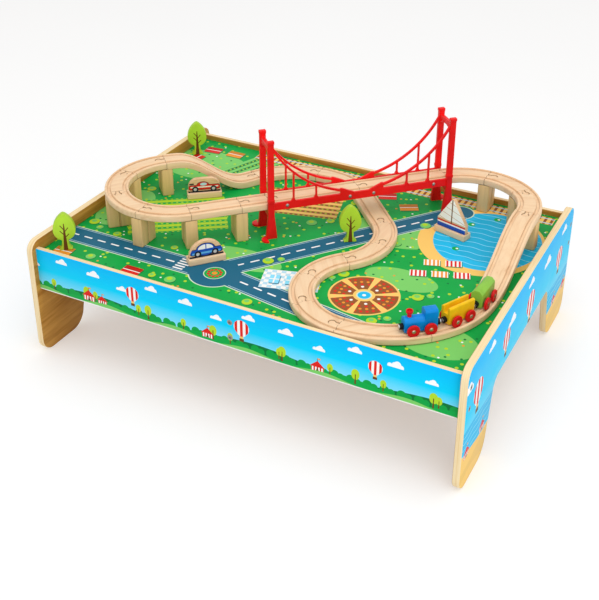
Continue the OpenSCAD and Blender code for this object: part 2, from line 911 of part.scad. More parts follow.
module tower() {
    clear_y = tower_y - tower_leg_t / 2;
    strut_z = tower_h - strut_drop - strut_h;
    bow_r = (clear_y * clear_y + strut_h * strut_h / 4) / strut_h;
    for (s = [0, 1]) mirror([0, s, 0]) translate([0, tower_y, 0]) {
        tower_leg_shape();
        leg_band(tower_h - collar_h);
        leg_band(rise + track_t + collar_h);
    }
    difference() {
        translate([-strut_t / 2, -clear_y - strut_t / 2, strut_z])
            cube([strut_t, 2 * clear_y + strut_t, strut_h]);
        translate([0, 0, strut_z + strut_h / 2 - bow_r]) rotate([0, 90, 0])
            cylinder(r = bow_r, h = 2 * strut_t, center = true);
    }
    translate([-tower_leg / 2, -clear_y - strut_t / 2, rise - bar_h])
        cube([tower_leg, 2 * clear_y + strut_t, bar_h]);
}

module tower_left() {
    color(red_colour) at_bridge() tower();
}

module tower_right() {
    color(red_colour) at_bridge() translate([2 * deck_l, 0, 0]) mirror([1, 0, 0]) tower();
}

// Side plate of one bridge half, seen from the front: girder, cable, hangers and gusset
module plate_profile() {
    foot = hanger_w / 2;
    gusset_end = min(cable_run + gusset_l, deck_l - seam);
    translate([plate_start, plate_z]) square([deck_l - plate_start, girder_h]);
    intersection() {
        difference() {
            translate(cable_c) circle(cable_r + cable_w / 2);
            translate(cable_c) circle(cable_r - cable_w / 2);
        }
        translate([plate_start, girder_top - over])
            square([cable_run - plate_start, cable_top + cable_w + over]);
    }
    for (i = [1, 2]) {
        x = i * hanger_pitch;
        translate([x - hanger_w / 2, girder_top - over])
            square([hanger_w, cable_z(x) - girder_top + over]);
        polygon([
            [x - hanger_w - foot, girder_top], [x + hanger_w + foot, girder_top],
            [x + foot, girder_top + 2 * hanger_w], [x - foot, girder_top + 2 * hanger_w]
        ]);
    }
    polygon([
        [cable_run - cable_w, girder_top - over],
        [gusset_end, girder_top - over],
        [gusset_end, girder_top],
        [cable_run, girder_top + gusset_h],
        [cable_run - cable_w, girder_top + gusset_h]
    ]);
}

// Front plate of the left half
module side_plate() {
    difference() {
        translate([0, -plate_y, 0]) rotate([90, 0, 0]) linear_extrude(plate_t) plate_profile();
        at_deck_studs() translate([0, -plate_t - over, 0]) stud_hole(plate_t + 2 * over);
    }
}

module plate_front_left() {
    color(red_colour) at_bridge() side_plate();
}

module plate_back_left() {
    color(red_colour) at_bridge() mirror([0, 1, 0]) side_plate();
}

module plate_front_right() {
    color(red_colour) at_bridge() translate([2 * deck_l, 0, 0]) mirror([1, 0, 0]) side_plate();
}

module plate_back_right() {
    color(red_colour) at_bridge() translate([2 * deck_l, 0, 0]) rotate([0, 0, 180]) side_plate();
}

// Dome of a given width and height on z = 0
module dome(d, h) {
    r = (d * d / 4 + h * h) / (2 * h);
    intersection() {
        translate([0, 0, h - r]) sphere(r);
        cylinder(d = d, h = h);
    }
}

module bridge_screw() {
    translate([0, -plate_t, 0]) rotate([-90, 0, 0])
        cylinder(d = stud_d, h = plate_t + stud_bite - over);
    translate([0, -plate_t, 0]) rotate([90, 0, 0]) dome(stud_head_d, stud_head_h);
}

module bridge_screws() {
    color(steel_colour) at_bridge() for (e = [0, 1])
        translate([e * 2 * deck_l, 0, 0]) mirror([e, 0, 0])
        for (s = [0, 1]) mirror([0, s, 0]) at_deck_studs() bridge_screw();
}

// Train: each vehicle in its own frame, X forward, z = 0 on top of the track

module at_train(i) {
    translate([wide_c.x, wide_c.y, track_top]) rotate([0, 0, train_at + i * train_pitch])
        translate([ride_r, 0, 0]) rotate([0, 0, -90]) children();
}

module axle_holes() {
    for (s = [-1, 1]) translate([s * wheel_base / 2, 0, wheel_z]) rotate([90, 0, 0])
        cylinder(d = axle_d + 2 * fit, h = car_w + 2 * over, center = true);
}

// Bar along X with the given section, seen from the front
module car_bar(x, l) {
    translate([x, 0, 0]) rotate([90, 0, 90]) linear_extrude(l) children();
}

// Section with rounded upper corners
module car_section(w, top, r) {
    difference() {
        translate([-w / 2, car_lift]) square([w, top - car_lift]);
        for (s = [0, 1]) mirror([s, 0]) translate([w / 2 - r, top - r]) corner_waste(r);
    }
}

module engine_body() {
    color(blue_colour) at_train(0) difference() {
        union() {
            car_bar(-car_l / 2, cab_l) car_section(car_w, cab_top, 2 * car_round);
            car_bar(-car_l / 2, car_l) translate([-car_w / 2, car_lift])
                square([car_w, boiler_mid - car_lift]);
            car_bar(cab_x - over, car_l - cab_l + over) translate([0, boiler_mid])
                circle(boiler_r);
        }
        axle_holes();
        translate([funnel_x, 0, boiler_mid + boiler_r - funnel_pin])
            cylinder(d = funnel_foot_d + 2 * fit, h = funnel_pin + over);
    }
}

module engine_funnel() {
    foot = funnel_foot_d / 2;
    mouth = funnel_d / 2;
    wall = foot / 2;
    color(red_colour) at_train(0)
        translate([funnel_x, 0, boiler_mid + boiler_r - funnel_pin])
        rotate_extrude() polygon([
            [0, 0],
            [foot, 0],
            [foot, funnel_pin + funnel_h / 3],
            [mouth, funnel_pin + 2 * funnel_h / 3],
            [mouth, funnel_pin + funnel_h],
            [mouth - wall, funnel_pin + funnel_h],
            [mouth - wall, funnel_pin + 2 * funnel_h / 3],
            [0, funnel_pin + 2 * funnel_h / 3]
        ]);
}

module hopper_body() {
    color(yellow_colour) at_train(1) difference() {
        car_bar(-car_l / 2, car_l) difference() {
            car_section(car_w, hopper_top, car_round);
            translate([-trough_w / 2, hopper_top - trough_d])
                square([trough_w, trough_d + over]);
        }
        axle_holes();
    }
}

module boxcar_body() {
    side = car_w / 2;
    color(green_colour) at_train(2) difference() {
        car_bar(-car_l / 2, car_l) polygon([
            [-side, car_lift], [side, car_lift],
            [side, box_top - roof_bevel], [side - roof_bevel, box_top],
            [roof_bevel - side, box_top], [-side, box_top - roof_bevel]
        ]);
        axle_holes();
    }
}

// Cups and magnets at both ends of a vehicle
module at_ends() {
    for (s = [0, 1]) mirror([s, 0, 0]) translate([car_l / 2, 0, cup_mid])
        rotate([0, 90, 0]) children();
}

module cups(i) {
    seat = magnet_t - magnet_out;
    color(black_colour) at_train(i) at_ends() difference() {
        cylinder(d = cup_d, h = cup_l);
        translate([0, 0, cup_l - seat]) cylinder(d = magnet_d + 2 * fit, h = seat + over);
    }
}

module magnets(i) {
    seat = magnet_t - magnet_out;
    color(steel_colour) at_train(i) at_ends() translate([0, 0, cup_l - seat])
        cylinder(d = magnet_d, h = magnet_t);
}

// Plain wheel with a shallow dish, its outer face towards +Z
module wheel() {
    r = wheel_d / 2;
    half = wheel_t / 2;
    round = wheel_t / 5;
    hub = axle_head_d / 2;
    rotate_extrude() polygon([
        [axle_d / 2 + fit, -half],
        [r - round, -half],
        [r, round - half],
        [r, half - round],
        [r - round, half],
        [r - 3 * round, half],
        [hub + round, half - round / 2],
        [hub, half],
        [axle_d / 2 + fit, half]
    ]);
}

module wheel_pair(i, end) {
    color(red_colour) at_train(i) translate([end * wheel_base / 2, 0, wheel_z])
        for (s = [-1, 1]) rotate([-s * 90, 0, 0]) translate([0, 0, gauge / 2]) wheel();
}

module axle(i, end) {
    color(steel_colour) at_train(i) translate([end * wheel_base / 2, 0, wheel_z])
        rotate([90, 0, 0]) {
            cylinder(d = axle_d, h = axle_l, center = true);
            for (s = [0, 1]) mirror([0, 0, s]) translate([0, 0, axle_l / 2])
                dome(axle_head_d, axle_head_h);
        }
}

module engine_cups() cups(0);
module hopper_cups() cups(1);
module boxcar_cups() cups(2);
module engine_magnets() magnets(0);
module hopper_magnets() magnets(1);
module boxcar_magnets() magnets(2);
module engine_front_wheels() wheel_pair(0, 1);
module engine_rear_wheels() wheel_pair(0, -1);
module hopper_front_wheels() wheel_pair(1, 1);
module hopper_rear_wheels() wheel_pair(1, -1);
module boxcar_front_wheels() wheel_pair(2, 1);
module boxcar_rear_wheels() wheel_pair(2, -1);
module engine_front_axle() axle(0, 1);
module engine_rear_axle() axle(0, -1);
module hopper_front_axle() axle(1, 1);
module hopper_rear_axle() axle(1, -1);
module boxcar_front_axle() axle(2, 1);
module boxcar_rear_axle() axle(2, -1);

// Scenery

// Crown of four arcs on a foot with hollow sides
module tree_profile() {
    foot_r = tree_foot_h;
    translate([0, crown_z]) {
        circle(crown_r);
        difference() {
            intersection() {
                translate([-crown_r, 0]) circle(2 * crown_r);
                translate([crown_r, 0]) circle(2 * crown_r);
            }
            translate([-tree_w, -2 * tree_w]) square([2 * tree_w, 2 * tree_w]);
            translate([-tree_w, crown_cut_z]) square([2 * tree_w, tree_w]);
        }
        translate([0, crown_tip_z]) circle(tree_tip_r);
    }
    difference() {
        translate([-tree_foot_w / 2, 0]) square([tree_foot_w, crown_z]);
        for (s = [0, 1]) mirror([s, 0]) {
            translate([tree_neck_w / 2 + foot_r, foot_r]) circle(foot_r);
            translate([tree_neck_w / 2, foot_r]) square([tree_foot_w, crown_z]);
        }
    }
}

module tree(p) {
    color(lime_colour) at(p, board_z) rotate([90, 0, 0])
        linear_extrude(tree_t, center = true) tree_profile();
}

module tree_front() tree(tree_front_pose);
module tree_back() tree(tree_back_pose);
module tree_middle() tree(tree_middle_pose);

// Base with a slot for the upright board
module block_base(p) {
    slot_w = block_board_t + 2 * seat_play;
    slot_l = block_l - block_slot;
    color(beech_colour) at(p, board_z) difference() {
        translate([-block_l / 2, -block_d / 2, 0]) cube([block_l, block_d, block_h]);
        translate([-slot_l / 2, -slot_w / 2, block_h - block_slot])
            cube([slot_l, slot_w, block_slot + over]);
    }
}

// Upright board from its outline over the top of the base
module block_board(p) {
    foot_l = block_l - block_slot - 2 * seat_play;
    at(p, board_z + block_h) rotate([90, 0, 0])
        linear_extrude(block_board_t, center = true) {
            translate([-foot_l / 2, -block_slot]) square([foot_l, block_slot]);
            children();
        }
}

// Circular arch over the length of the board
module arc_outline() {
    half = (block_l - block_slot) / 2 - seat_play;
    r = (half * half + arc_board_h * arc_board_h) / (2 * arc_board_h);
    intersection() {
        translate([0, arc_board_h - r]) circle(r);
        translate([-half, 0]) square([2 * half, arc_board_h]);
    }
}

// Low board with wide round shoulders
module race_outline() {
    half = (block_l - block_slot) / 2 - seat_play;
    difference() {
        translate([-half, 0]) square([2 * half, race_board_h]);
        for (s = [0, 1]) mirror([s, 0])
            translate([half - race_round, race_board_h - race_round])
            corner_waste(race_round);
    }
}

// Hull with a sail that narrows to a round tip
module sail_outline() {
    half = (block_l - block_slot) / 2 - seat_play;
    tip = sail_h - sail_tip_r;
    lean = asin(sail_tip_r / norm([half, tip - hull_h]));
    side_a = atan2(half, tip - hull_h) - lean;
    translate([-half, 0]) square([2 * half, hull_h]);
    polygon([
        [-half, hull_h],
        [half, hull_h],
        [sail_tip_r * cos(side_a), tip + sail_tip_r * sin(side_a)],
        [-sail_tip_r * cos(side_a), tip + sail_tip_r * sin(side_a)]
    ]);
    translate([0, tip]) circle(sail_tip_r);
}

module blue_car_base() block_base(blue_car_pose);
module race_car_base() block_base(race_car_pose);
module sailboat_base() block_base(sailboat_pose);

module blue_car_board() {
    color(blue_colour) block_board(blue_car_pose) arc_outline();
}

module race_car_board() {
    color(red_colour) block_board(race_car_pose) race_outline();
}

module sailboat_board() {
    color(yellow_colour) block_board(sailboat_pose) sail_outline();
}

left_panel();
right_panel();
front_rail();
back_rail();
play_board();
centre_beam();
panel_screws();
beam_screws();
loop_curves();
approach_tracks();
deck_left();
deck_right();
right_curves();
right_ramp();
wide_curves();
front_curves();
s_curves();
link_track();
back_curves();
snake_ramp();
pillars();
tower_left();
tower_right();
plate_front_left();
plate_front_right();
plate_back_left();
plate_back_right();
bridge_screws();
engine_body();
engine_funnel();
engine_cups();
engine_magnets();
hopper_body();
hopper_cups();
hopper_magnets();
boxcar_body();
boxcar_cups();
boxcar_magnets();
engine_front_wheels();
engine_rear_wheels();
hopper_front_wheels();
hopper_rear_wheels();
boxcar_front_wheels();
boxcar_rear_wheels();
engine_front_axle();
engine_rear_axle();
hopper_front_axle();
hopper_rear_axle();
boxcar_front_axle();
boxcar_rear_axle();
tree_front();
tree_back();
tree_middle();
blue_car_base();
blue_car_board();
race_car_base();
race_car_board();
sailboat_base();
sailboat_board();
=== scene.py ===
"""Looks of a toy train table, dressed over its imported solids."""

import functools
import json
import math
import operator

import bpy
from mathutils import Matrix, Vector

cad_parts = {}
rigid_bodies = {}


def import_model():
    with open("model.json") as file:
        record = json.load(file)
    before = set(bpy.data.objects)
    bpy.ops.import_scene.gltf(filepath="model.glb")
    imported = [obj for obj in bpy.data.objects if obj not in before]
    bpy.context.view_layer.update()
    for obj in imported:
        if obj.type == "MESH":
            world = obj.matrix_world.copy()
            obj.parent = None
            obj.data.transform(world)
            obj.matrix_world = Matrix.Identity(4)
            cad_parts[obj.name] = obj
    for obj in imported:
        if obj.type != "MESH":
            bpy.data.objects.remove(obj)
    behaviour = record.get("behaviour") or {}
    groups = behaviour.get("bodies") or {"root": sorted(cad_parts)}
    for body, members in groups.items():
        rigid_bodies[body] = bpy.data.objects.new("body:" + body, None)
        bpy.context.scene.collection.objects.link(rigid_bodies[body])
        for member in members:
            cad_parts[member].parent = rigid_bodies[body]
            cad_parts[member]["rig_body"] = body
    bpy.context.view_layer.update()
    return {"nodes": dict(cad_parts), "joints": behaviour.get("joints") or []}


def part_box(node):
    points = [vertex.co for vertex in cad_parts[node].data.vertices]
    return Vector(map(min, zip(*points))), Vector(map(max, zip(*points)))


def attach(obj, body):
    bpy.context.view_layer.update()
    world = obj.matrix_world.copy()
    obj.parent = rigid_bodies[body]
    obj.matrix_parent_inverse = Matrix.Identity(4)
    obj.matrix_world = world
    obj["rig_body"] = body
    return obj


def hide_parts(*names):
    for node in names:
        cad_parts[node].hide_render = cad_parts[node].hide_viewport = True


bl_info = {
    "name": "Train Table Dresser",
    "version": (1, 1, 0),
    "blender": (4, 2, 0),
    "location": "View3D > Sidebar > Train Table",
    "description": "Rounds, paints, prints and stages a toy train table",
    "category": "Object",
}

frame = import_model()
NODES = frame["nodes"]
MM = 0.001
WHITE = (1.0, 1.0, 1.0)
CARS = ("engine", "hopper", "boxcar")
ENDS = ("front", "rear")
PLATES = tuple(f"plate_{side}_{half}" for side in ("front", "back") for half in ("left", "right"))
shown = dict(NODES)


def linear(code):
    """Scene-linear colour of a six-digit web colour."""
    parts = [int(code[i : i + 2], 16) / 255 for i in (1, 3, 5)]
    return tuple(c / 12.92 if c <= 0.04045 else ((c + 0.055) / 1.055) ** 2.4 for c in parts)


def tint(name, description, code):
    return bpy.props.FloatVectorProperty(
        name=name, description=description, subtype="COLOR", size=3, min=0, max=1,
        default=linear(code),
    )


def number(name, description, default, **more):
    return bpy.props.FloatProperty(name=name, description=description, default=default, **more)


def length(name, description, millimetres):
    return number(name, description, millimetres * MM, unit="LENGTH", min=0, precision=5)


def rgba(colour):
    return (*colour, 1.0)


def shade(colour, share):
    return tuple(min(1.0, c * share) for c in colour)


def joint_heading(name):
    """Angle in the plane of the board along which a slide moves."""
    axis = next(j["axis"] for j in frame["joints"] if j["name"] == name)
    return math.atan2(axis[1], axis[0])


# Rounded pieces

# Edges that bend by more than SHARP are rounded, folds below FLAT are taken out, and corners closer
# than WELD are merged
SHARP = math.radians(38)
FLAT = math.radians(0.3)
WELD = 0.03 * MM
ROUND_STEPS = 3


def weigh_broad_edges(mesh, least):
    """Give the sharp edges between faces larger than an area a bevel weight of one."""
    beside = {}
    for face in mesh.polygons:
        for key in face.edge_keys:
            beside.setdefault(key, []).append(face)
    weights = mesh.attributes.new("bevel_weight_edge", "FLOAT", "EDGE")
    for edge in mesh.edges:
        faces = beside[edge.key]
        broad = len(faces) == 2 and min(face.area for face in faces) > least
        sharp = broad and faces[0].normal.angle(faces[1].normal) > SHARP
        weights.data[edge.index].value = float(sharp)


def soften(name, width, swell=0.0, clamp=False, least=0.0):
    """Round the sharp edges of a node over, on a copy that stands in for it.

    The copy can be swelled first, and faces smaller than a least area can keep their edges.
    """
    bpy.ops.object.select_all(action="DESELECT")
    node = NODES[name]
    node.select_set(True)
    bpy.context.view_layer.objects.active = node
    bpy.ops.object.duplicate(linked=False)
    piece = bpy.context.object
    if piece is None or piece == node:
        raise RuntimeError("no copy was made of " + name)
    piece.name = name + "_rounded"
    body = node["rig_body"]
    for key in [k for k in piece.keys() if k.startswith("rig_")]:
        del piece[key]
    bpy.ops.object.mode_set(mode="EDIT")
    bpy.ops.mesh.select_all(action="SELECT")
    bpy.ops.mesh.remove_doubles(threshold=WELD)
    bpy.ops.mesh.customdata_custom_splitnormals_clear()
    bpy.ops.mesh.dissolve_limited(angle_limit=FLAT)
    if swell:
        bpy.ops.mesh.select_all(action="SELECT")
        bpy.ops.transform.shrink_fatten(value=swell)
    bpy.ops.object.mode_set(mode="OBJECT")
    bevel = piece.modifiers.new("Rounding", "BEVEL")
    bevel.width = width
    bevel.segments = ROUND_STEPS
    bevel.angle_limit = SHARP
    bevel.limit_method = "WEIGHT" if least else "ANGLE"
    if least:
        weigh_broad_edges(piece.data, least)
    bevel.miter_outer = "MITER_ARC"
    bevel.use_clamp_overlap = clamp
    bpy.ops.object.modifier_apply(modifier="Rounding")
    bpy.ops.object.shade_smooth_by_angle(angle=SHARP)
    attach(piece, body)
    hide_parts(name)
    shown[name] = piece


# Shader tools


def both_ways(operation):
    """Methods for an operator with the socket on its left and on its right."""

    def left(self, other):
        return self.nodes.maths(operation, self, other)

    def right(self, other):
        return self.nodes.maths(operation, other, self)

    return left, right


class Value:
    """A shader socket that takes part in Python arithmetic."""

    def __init__(self, nodes, socket):
        self.nodes = nodes
        self.socket = socket

    def math(self, operation, *others, clamp=False):
        return self.nodes.maths(operation, self, *others, clamp=clamp)

    __add__, __radd__ = both_ways("ADD")
    __sub__, __rsub__ = both_ways("SUBTRACT")
    __mul__, __rmul__ = both_ways("MULTIPLY")
    __truediv__, __rtruediv__ = both_ways("DIVIDE")
    __and__, __rand__ = both_ways("MINIMUM")
    __or__, __ror__ = both_ways("MAXIMUM")

    def __neg__(self):
        return self.math("MULTIPLY", -1.0)

    def __abs__(self):
        return self.math("ABSOLUTE")

    def above(self, level):
        return self.math("GREATER_THAN", level)

    def other(self, name):
        return Value(self.nodes, self.socket.node.outputs[name])


class Nodes:
    """A node tree and the one way to add nodes to it."""

    def __init__(self, tree):
        self.tree = tree

    def feed(self, socket, value):
        if isinstance(value, Value):
            self.tree.links.new(value.socket, socket)
        else:
            socket.default_value = value

    def node(self, kind, settings=None, inputs=None, out=0):
        made = self.tree.nodes.new(kind)
        for key, value in (settings or {}).items():
            if key == "stops":
                ramp = made.color_ramp.elements
                while len(ramp) < len(value):
                    ramp.new(1.0)
                for stop, (place, colour) in zip(ramp, value):
                    stop.position = place
                    stop.color = rgba(colour)
            else:
                setattr(made, key, value)
        for key, value in (inputs or {}).items():
            self.feed(made.inputs[key], value)
        return Value(self, made.outputs[out])

    def maths(self, operation, *values, clamp=False):
        settings = {"operation": operation, "use_clamp": clamp}
        return self.node("ShaderNodeMath", settings, dict(enumerate(values)))

    def veil(self, output, share, shader, colour, strength, kind="ShaderNodeEmission"):
        """Mix a plain light over a shader, by a share and only where an eye looks at it."""
        ray = self.node("ShaderNodeLightPath", out="Is Camera Ray")
        seen = ray | ray.other("Is Glossy Ray") | ray.other("Is Transmission Ray")
        under = Value(self, self.tree.nodes[shader].outputs[0])
        over = self.node(kind, inputs={"Color": rgba(colour), "Strength": strength})
        mixed = self.node("ShaderNodeMixShader", inputs={0: seen * share, 1: under, 2: over})
        self.feed(self.tree.nodes[output].inputs["Surface"], mixed)


class Paint(Nodes):
    """A material and what is mixed on it."""

    def __init__(self, name, roughness=0.5, metallic=0.0, coat=0.0, gloss=0.2):
        self.material = bpy.data.materials.new(name)
        self.material.use_nodes = True
        super().__init__(self.material.node_tree)
        self.shader = self.tree.nodes["Principled BSDF"]
        self.set("Roughness", roughness)
        self.set("Metallic", metallic)
        self.set("Coat Weight", coat)
        self.set("Coat Roughness", 0.12)
        self.set("Specular IOR Level", gloss)
        self.spot = self.node("ShaderNodeTexCoord", out="Object")
        self.facing = self.spot.other("Normal")

    def set(self, name, value):
        self.feed(self.shader.inputs[name], value)

    def vector(self, operation, *values, out=0):
        settings = {"operation": operation}
        return self.node("ShaderNodeVectorMath", settings, dict(enumerate(values)), out)

    def mix(self, mask, under, over):
        settings = {"data_type": "RGBA"}
        colours = [c if isinstance(c, Value) else rgba(c) for c in (under, over)]
        return self.node("ShaderNodeMix", settings, {0: mask, 6: colours[0], 7: colours[1]}, 2)

    def split(self, vector):
        x = self.node("ShaderNodeSeparateXYZ", inputs={0: vector})
        return x, x.other("Y"), x.other("Z")

    def join(self, x, y, z=0.0):
        return self.node("ShaderNodeCombineXYZ", inputs={0: x, 1: y, 2: z})

    def noise(self, scale, detail=3.0, roughness=0.5, spot=None):
        sizes = {"Scale": scale, "Detail": detail, "Roughness": roughness}
        return self.node("ShaderNodeTexNoise", inputs={"Vector": spot or self.spot, **sizes})

    def fibre(self, stretch, detail=4.0, spot=None):
        """Noise drawn out along a grain."""
        return self.noise(1.0, detail, 0.6, self.vector("MULTIPLY", spot or self.spot, stretch))

    def ramp(self, value, *stops):
        return self.node("ShaderNodeValToRGB", {"stops": stops}, {0: value})

    def local(self, place, turn=0.0):
        """Object coordinates seen from a place on the object, turned about Z."""
        sizes = {"Vector": self.spot, "Location": tuple(place), "Rotation": (0.0, 0.0, turn)}
        return self.node("ShaderNodeMapping", {"vector_type": "TEXTURE"}, sizes)

    def bump(self, height, depth):
        sizes = {"Strength": 1.0, "Distance": depth, "Height": height}
        self.set("Normal", self.node("ShaderNodeBump", inputs=sizes))

    def apply(self, *names):
        for name in names:
            slots = shown[name].data.materials
            slots.clear()
            slots.append(self.material)


def union(masks):
    return functools.reduce(operator.or_, masks)


class Picture:
    """A flat picture of soft-edged masks, measured in millimetres; mix() clamps them."""

    def __init__(self, paint, u, v, ground, edge=0.3):
        self.paint = paint
        self.u = u
        self.v = v
        self.spot = paint.join(u, v)
        self.colour = ground
        self.edge = edge

    def soft(self, inside):
        return inside.math("MULTIPLY_ADD", 1.0 / self.edge, 0.5)

    def lay(self, mask, colour):
        self.colour = self.paint.mix(mask, self.colour, colour)

    def lay_discs(self, discs, colour, du=0.0, dv=0.0, size=1.0):
        """Lay many discs as one layer, shifted and sized by shares of their radius."""
        shapes = (self.disc(u + du * r, v + dv * r, size * r) for u, v, r in discs)
        self.lay(union(shapes), colour)

    def lay_slabs(self, places, half_l, half_w, colour, drop=0.0):
        """Lay like slabs at many places and turns as one layer, dropped a little for a shadow."""
        shapes = (self.slab(u + drop, v - drop, half_l, half_w, turn) for u, v, turn in places)
        self.lay(union(shapes), colour)

    def far(self, u, v):
        return self.paint.vector("DISTANCE", self.spot, (u, v, 0.0), out="Value")

    def within(self, far, limit, scale=1.0):
        """Soft mask where a distance stays below a limit."""
        step = scale / self.edge
        return far.math("MULTIPLY_ADD", -step, limit * step + 0.5)

    def disc(self, u, v, r):
        return self.within(self.far(u, v), r)

    def oval(self, u, v, ru, rv):
        step = self.paint.vector("SUBTRACT", self.spot, (u, v, 0.0))
        share = self.paint.vector("MULTIPLY", step, (1 / ru, 1 / rv, 0.0))
        return self.within(self.paint.vector("LENGTH", share, out="Value"), 1.0, min(ru, rv))

    def turned(self, u, v, angle):
        """Distances along and across a line through a point."""
        step = self.paint.vector("SUBTRACT", self.spot, (u, v, 0.0))
        c, s = math.cos(angle), math.sin(angle)
        axes = (c, s, 0.0), (-s, c, 0.0)
        return [self.paint.vector("DOT_PRODUCT", step, axis, out="Value") for axis in axes]

    def slab(self, u, v, half_l, half_w, angle=0.0):
        along, across = self.turned(u, v, angle)
        return self.within(abs(along), half_l) & self.within(abs(across), half_w)

    def pill(self, along, across, half_l, r):
        """Bar with round ends, in its own distances along and across."""
        beyond = (abs(along) - half_l) | 0.0
        far = self.paint.vector("LENGTH", self.paint.join(beyond, across), out="Value")
        return self.within(far, r)

    def wedge(self, u, v, half_w, tall):
        """Triangle on a base line, pointing up."""
        rise = self.v - v
        slope = half_w - abs(self.u - u) - rise * (half_w / tall)
        return self.soft(slope & rise)

    def repeat(self, value, period):
        """Distance to the nearest of evenly spaced places."""
        return value.math("WRAP", period / 2, -period / 2)

    def row(self, period, shift=0.0):
        """The same picture, repeated along its width."""
        wrapped = self.repeat(self.u + shift, period)
        return Picture(self.paint, wrapped, self.v, self.colour, self.edge)

    def beat(self, value, period, share):
        """Bars that repeat along a value, each a share of the period wide."""
        return self.within(abs(self.repeat(value, period)), share * period / 2)


# Motifs of the prints


def moved(place, along, across=0.0):
    """A place, given as u, v and turn, shifted along and across its own heading."""
    u, v, turn = place
    c, s = math.cos(turn), math.sin(turn)
    return u + along * c - across * s, v + along * s + across * c, turn


def lay_cloud(picture, u, v, size, colour):
    puffs = ((0.0, 0.0, 0.3), (-0.42, -0.06, 0.2), (0.4, -0.06, 0.22), (0.14, 0.14, 0.26))
    shapes = (picture.disc(u + du * size, v + dv * size, r * size) for du, dv, r in puffs)
    floor = picture.soft(picture.v - (v - 0.16 * size))
    picture.lay(union(shapes) & floor, colour)


def lay_balloon(picture, u, v, size, colours):
    """Round balloon with upright stripes and a basket on a skirt."""
    picture.lay(picture.slab(u, v - 0.7 * size, 0.12 * size, 0.16 * size), colours.sand)
    ball = picture.disc(u, v, 0.5 * size)
    ball = ball | picture.oval(u, v - 0.18 * size, 0.36 * size, 0.42 * size)
    picture.lay(ball, colours.white)
    bars = picture.beat(picture.u - u, 0.36 * size, 0.5)
    picture.lay(ball & bars, colours.red)
    picture.lay(picture.slab(u, v - 0.84 * size, 0.15 * size, 0.1 * size), colours.trunk)


def lay_tent(picture, u, v, size, colours):
    """Striped tent with a pointed roof and a pennant."""
    picture.lay(picture.slab(u, v + 0.78 * size, 0.02 * size, 0.22 * size), colours.trunk)
    pennant = picture.slab(u + 0.1 * size, v + 0.94 * size, 0.1 * size, 0.05 * size)
    picture.lay(pennant, colours.orange)
    wall = picture.slab(u, v + 0.18 * size, 0.42 * size, 0.18 * size)
    bars = picture.beat(picture.u - u, 0.21 * size, 0.5)
    picture.lay(wall, colours.white)
    picture.lay(wall & bars, colours.red)
    picture.lay(picture.wedge(u, v + 0.33 * size, 0.52 * size, 0.46 * size), colours.red)
    picture.lay(picture.wedge(u, v, 0.12 * size, 0.34 * size), colours.trunk)


def lay_tree(picture, u, v, size, crown, trunk):
    picture.lay(picture.slab(u, v + 0.2 * size, 0.05 * size, 0.24 * size), trunk)
    picture.lay(picture.oval(u, v + 0.66 * size, 0.27 * size, 0.38 * size), crown)
    picture.lay(picture.slab(u, v + 0.46 * size, 0.03 * size, 0.2 * size), trunk)


def lay_bushes(picture, bushes, colours):
    """Round bushes seen from above: shadows, crowns in two greens and lighter tops."""
    picture.lay_discs(bushes, colours.forest, 0.2, -0.2)
    tones = (colours.lime, colours.meadow)
    for half, crown, top in ((bushes[::2], *tones), (bushes[1::2], *reversed(tones))):
        picture.lay_discs(half, crown)
        picture.lay_discs(half, top, -0.2, 0.24, 0.5)


def lay_roofs(picture, roofs, size, tone, colours):
    """House roofs seen from above: shadows, two slopes with tile rows, and ridges."""
    half_l, half_w = 0.5 * size, 0.36 * size
    picture.lay_slabs(roofs, half_l, half_w, colours.forest, 0.08 * size)
    picture.lay_slabs(roofs, half_l, half_w, tone)
    for share, thick, dark in ((0.5, 0.18, 0.74), (0.16, 0.025, 0.56), (0.82, 0.025, 0.56)):
        rows = [moved(roof, 0.0, share * half_w) for roof in roofs]
        picture.lay_slabs(rows, half_l, thick * size, shade(tone, dark))
    picture.lay_slabs(roofs, half_l, 0.03 * size, colours.white)


def sky(picture, colours, low, high):
    height = ((picture.v - low) / (high - low)).math("MULTIPLY", 1.0, clamp=True)
    stops = ((0.0, colours.sky_low), (0.45, colours.sky_mid), (1.0, colours.sky_high))
    picture.colour = picture.paint.ramp(height, *stops)


def hills(picture, level, swing, period, shift, colour):
    wave = (picture.u * (2 * math.pi / period) + shift).math("SINE")
    picture.lay(picture.soft(wave * swing + level - picture.v), colour)


# Settings


class PrintColours(bpy.types.PropertyGroup):
    sky_high: tint("Upper sky", "Sky at the top of the prints", "#00c0fe")
    sky_mid: tint("Middle sky", "Sky half way up the prints", "#00d6ff")
    sky_low: tint("Lower sky", "Sky above the hills", "#8fe4ff")
    cloud: tint("Cloud", "Clouds and road marks", "#ffffff")
    grass: tint("Grass", "Main green of the prints", "#0fae4b")
    meadow: tint("Meadow", "Pale green patches", "#7fd36b")
    lime: tint("Lime", "Tree crowns and bright fields", "#b9de2f")
    forest: tint("Forest", "Dark green of far hills and shadows", "#087a3c")
    road: tint("Road", "Road surface", "#1f6885")
    kerb: tint("Kerb", "Pale line beside the roads", "#d8ecd0")
    water: tint("Water", "Ponds", "#22c1f2")
    sand: tint("Sand", "Sand and paths", "#ffd070")
    red: tint("Red", "Red roofs and stripes", "#e5271d")
    orange: tint("Orange", "Orange roofs", "#f79a34")
    white: tint("White", "White roofs and stripes", "#fffdf8")
    paving: tint("Paving", "Pale squares", "#bfe4f4")
    soil: tint("Soil", "Beds and planks", "#9a5a2c")
    trunk: tint("Trunk", "Tree trunks and baskets", "#6c431a")


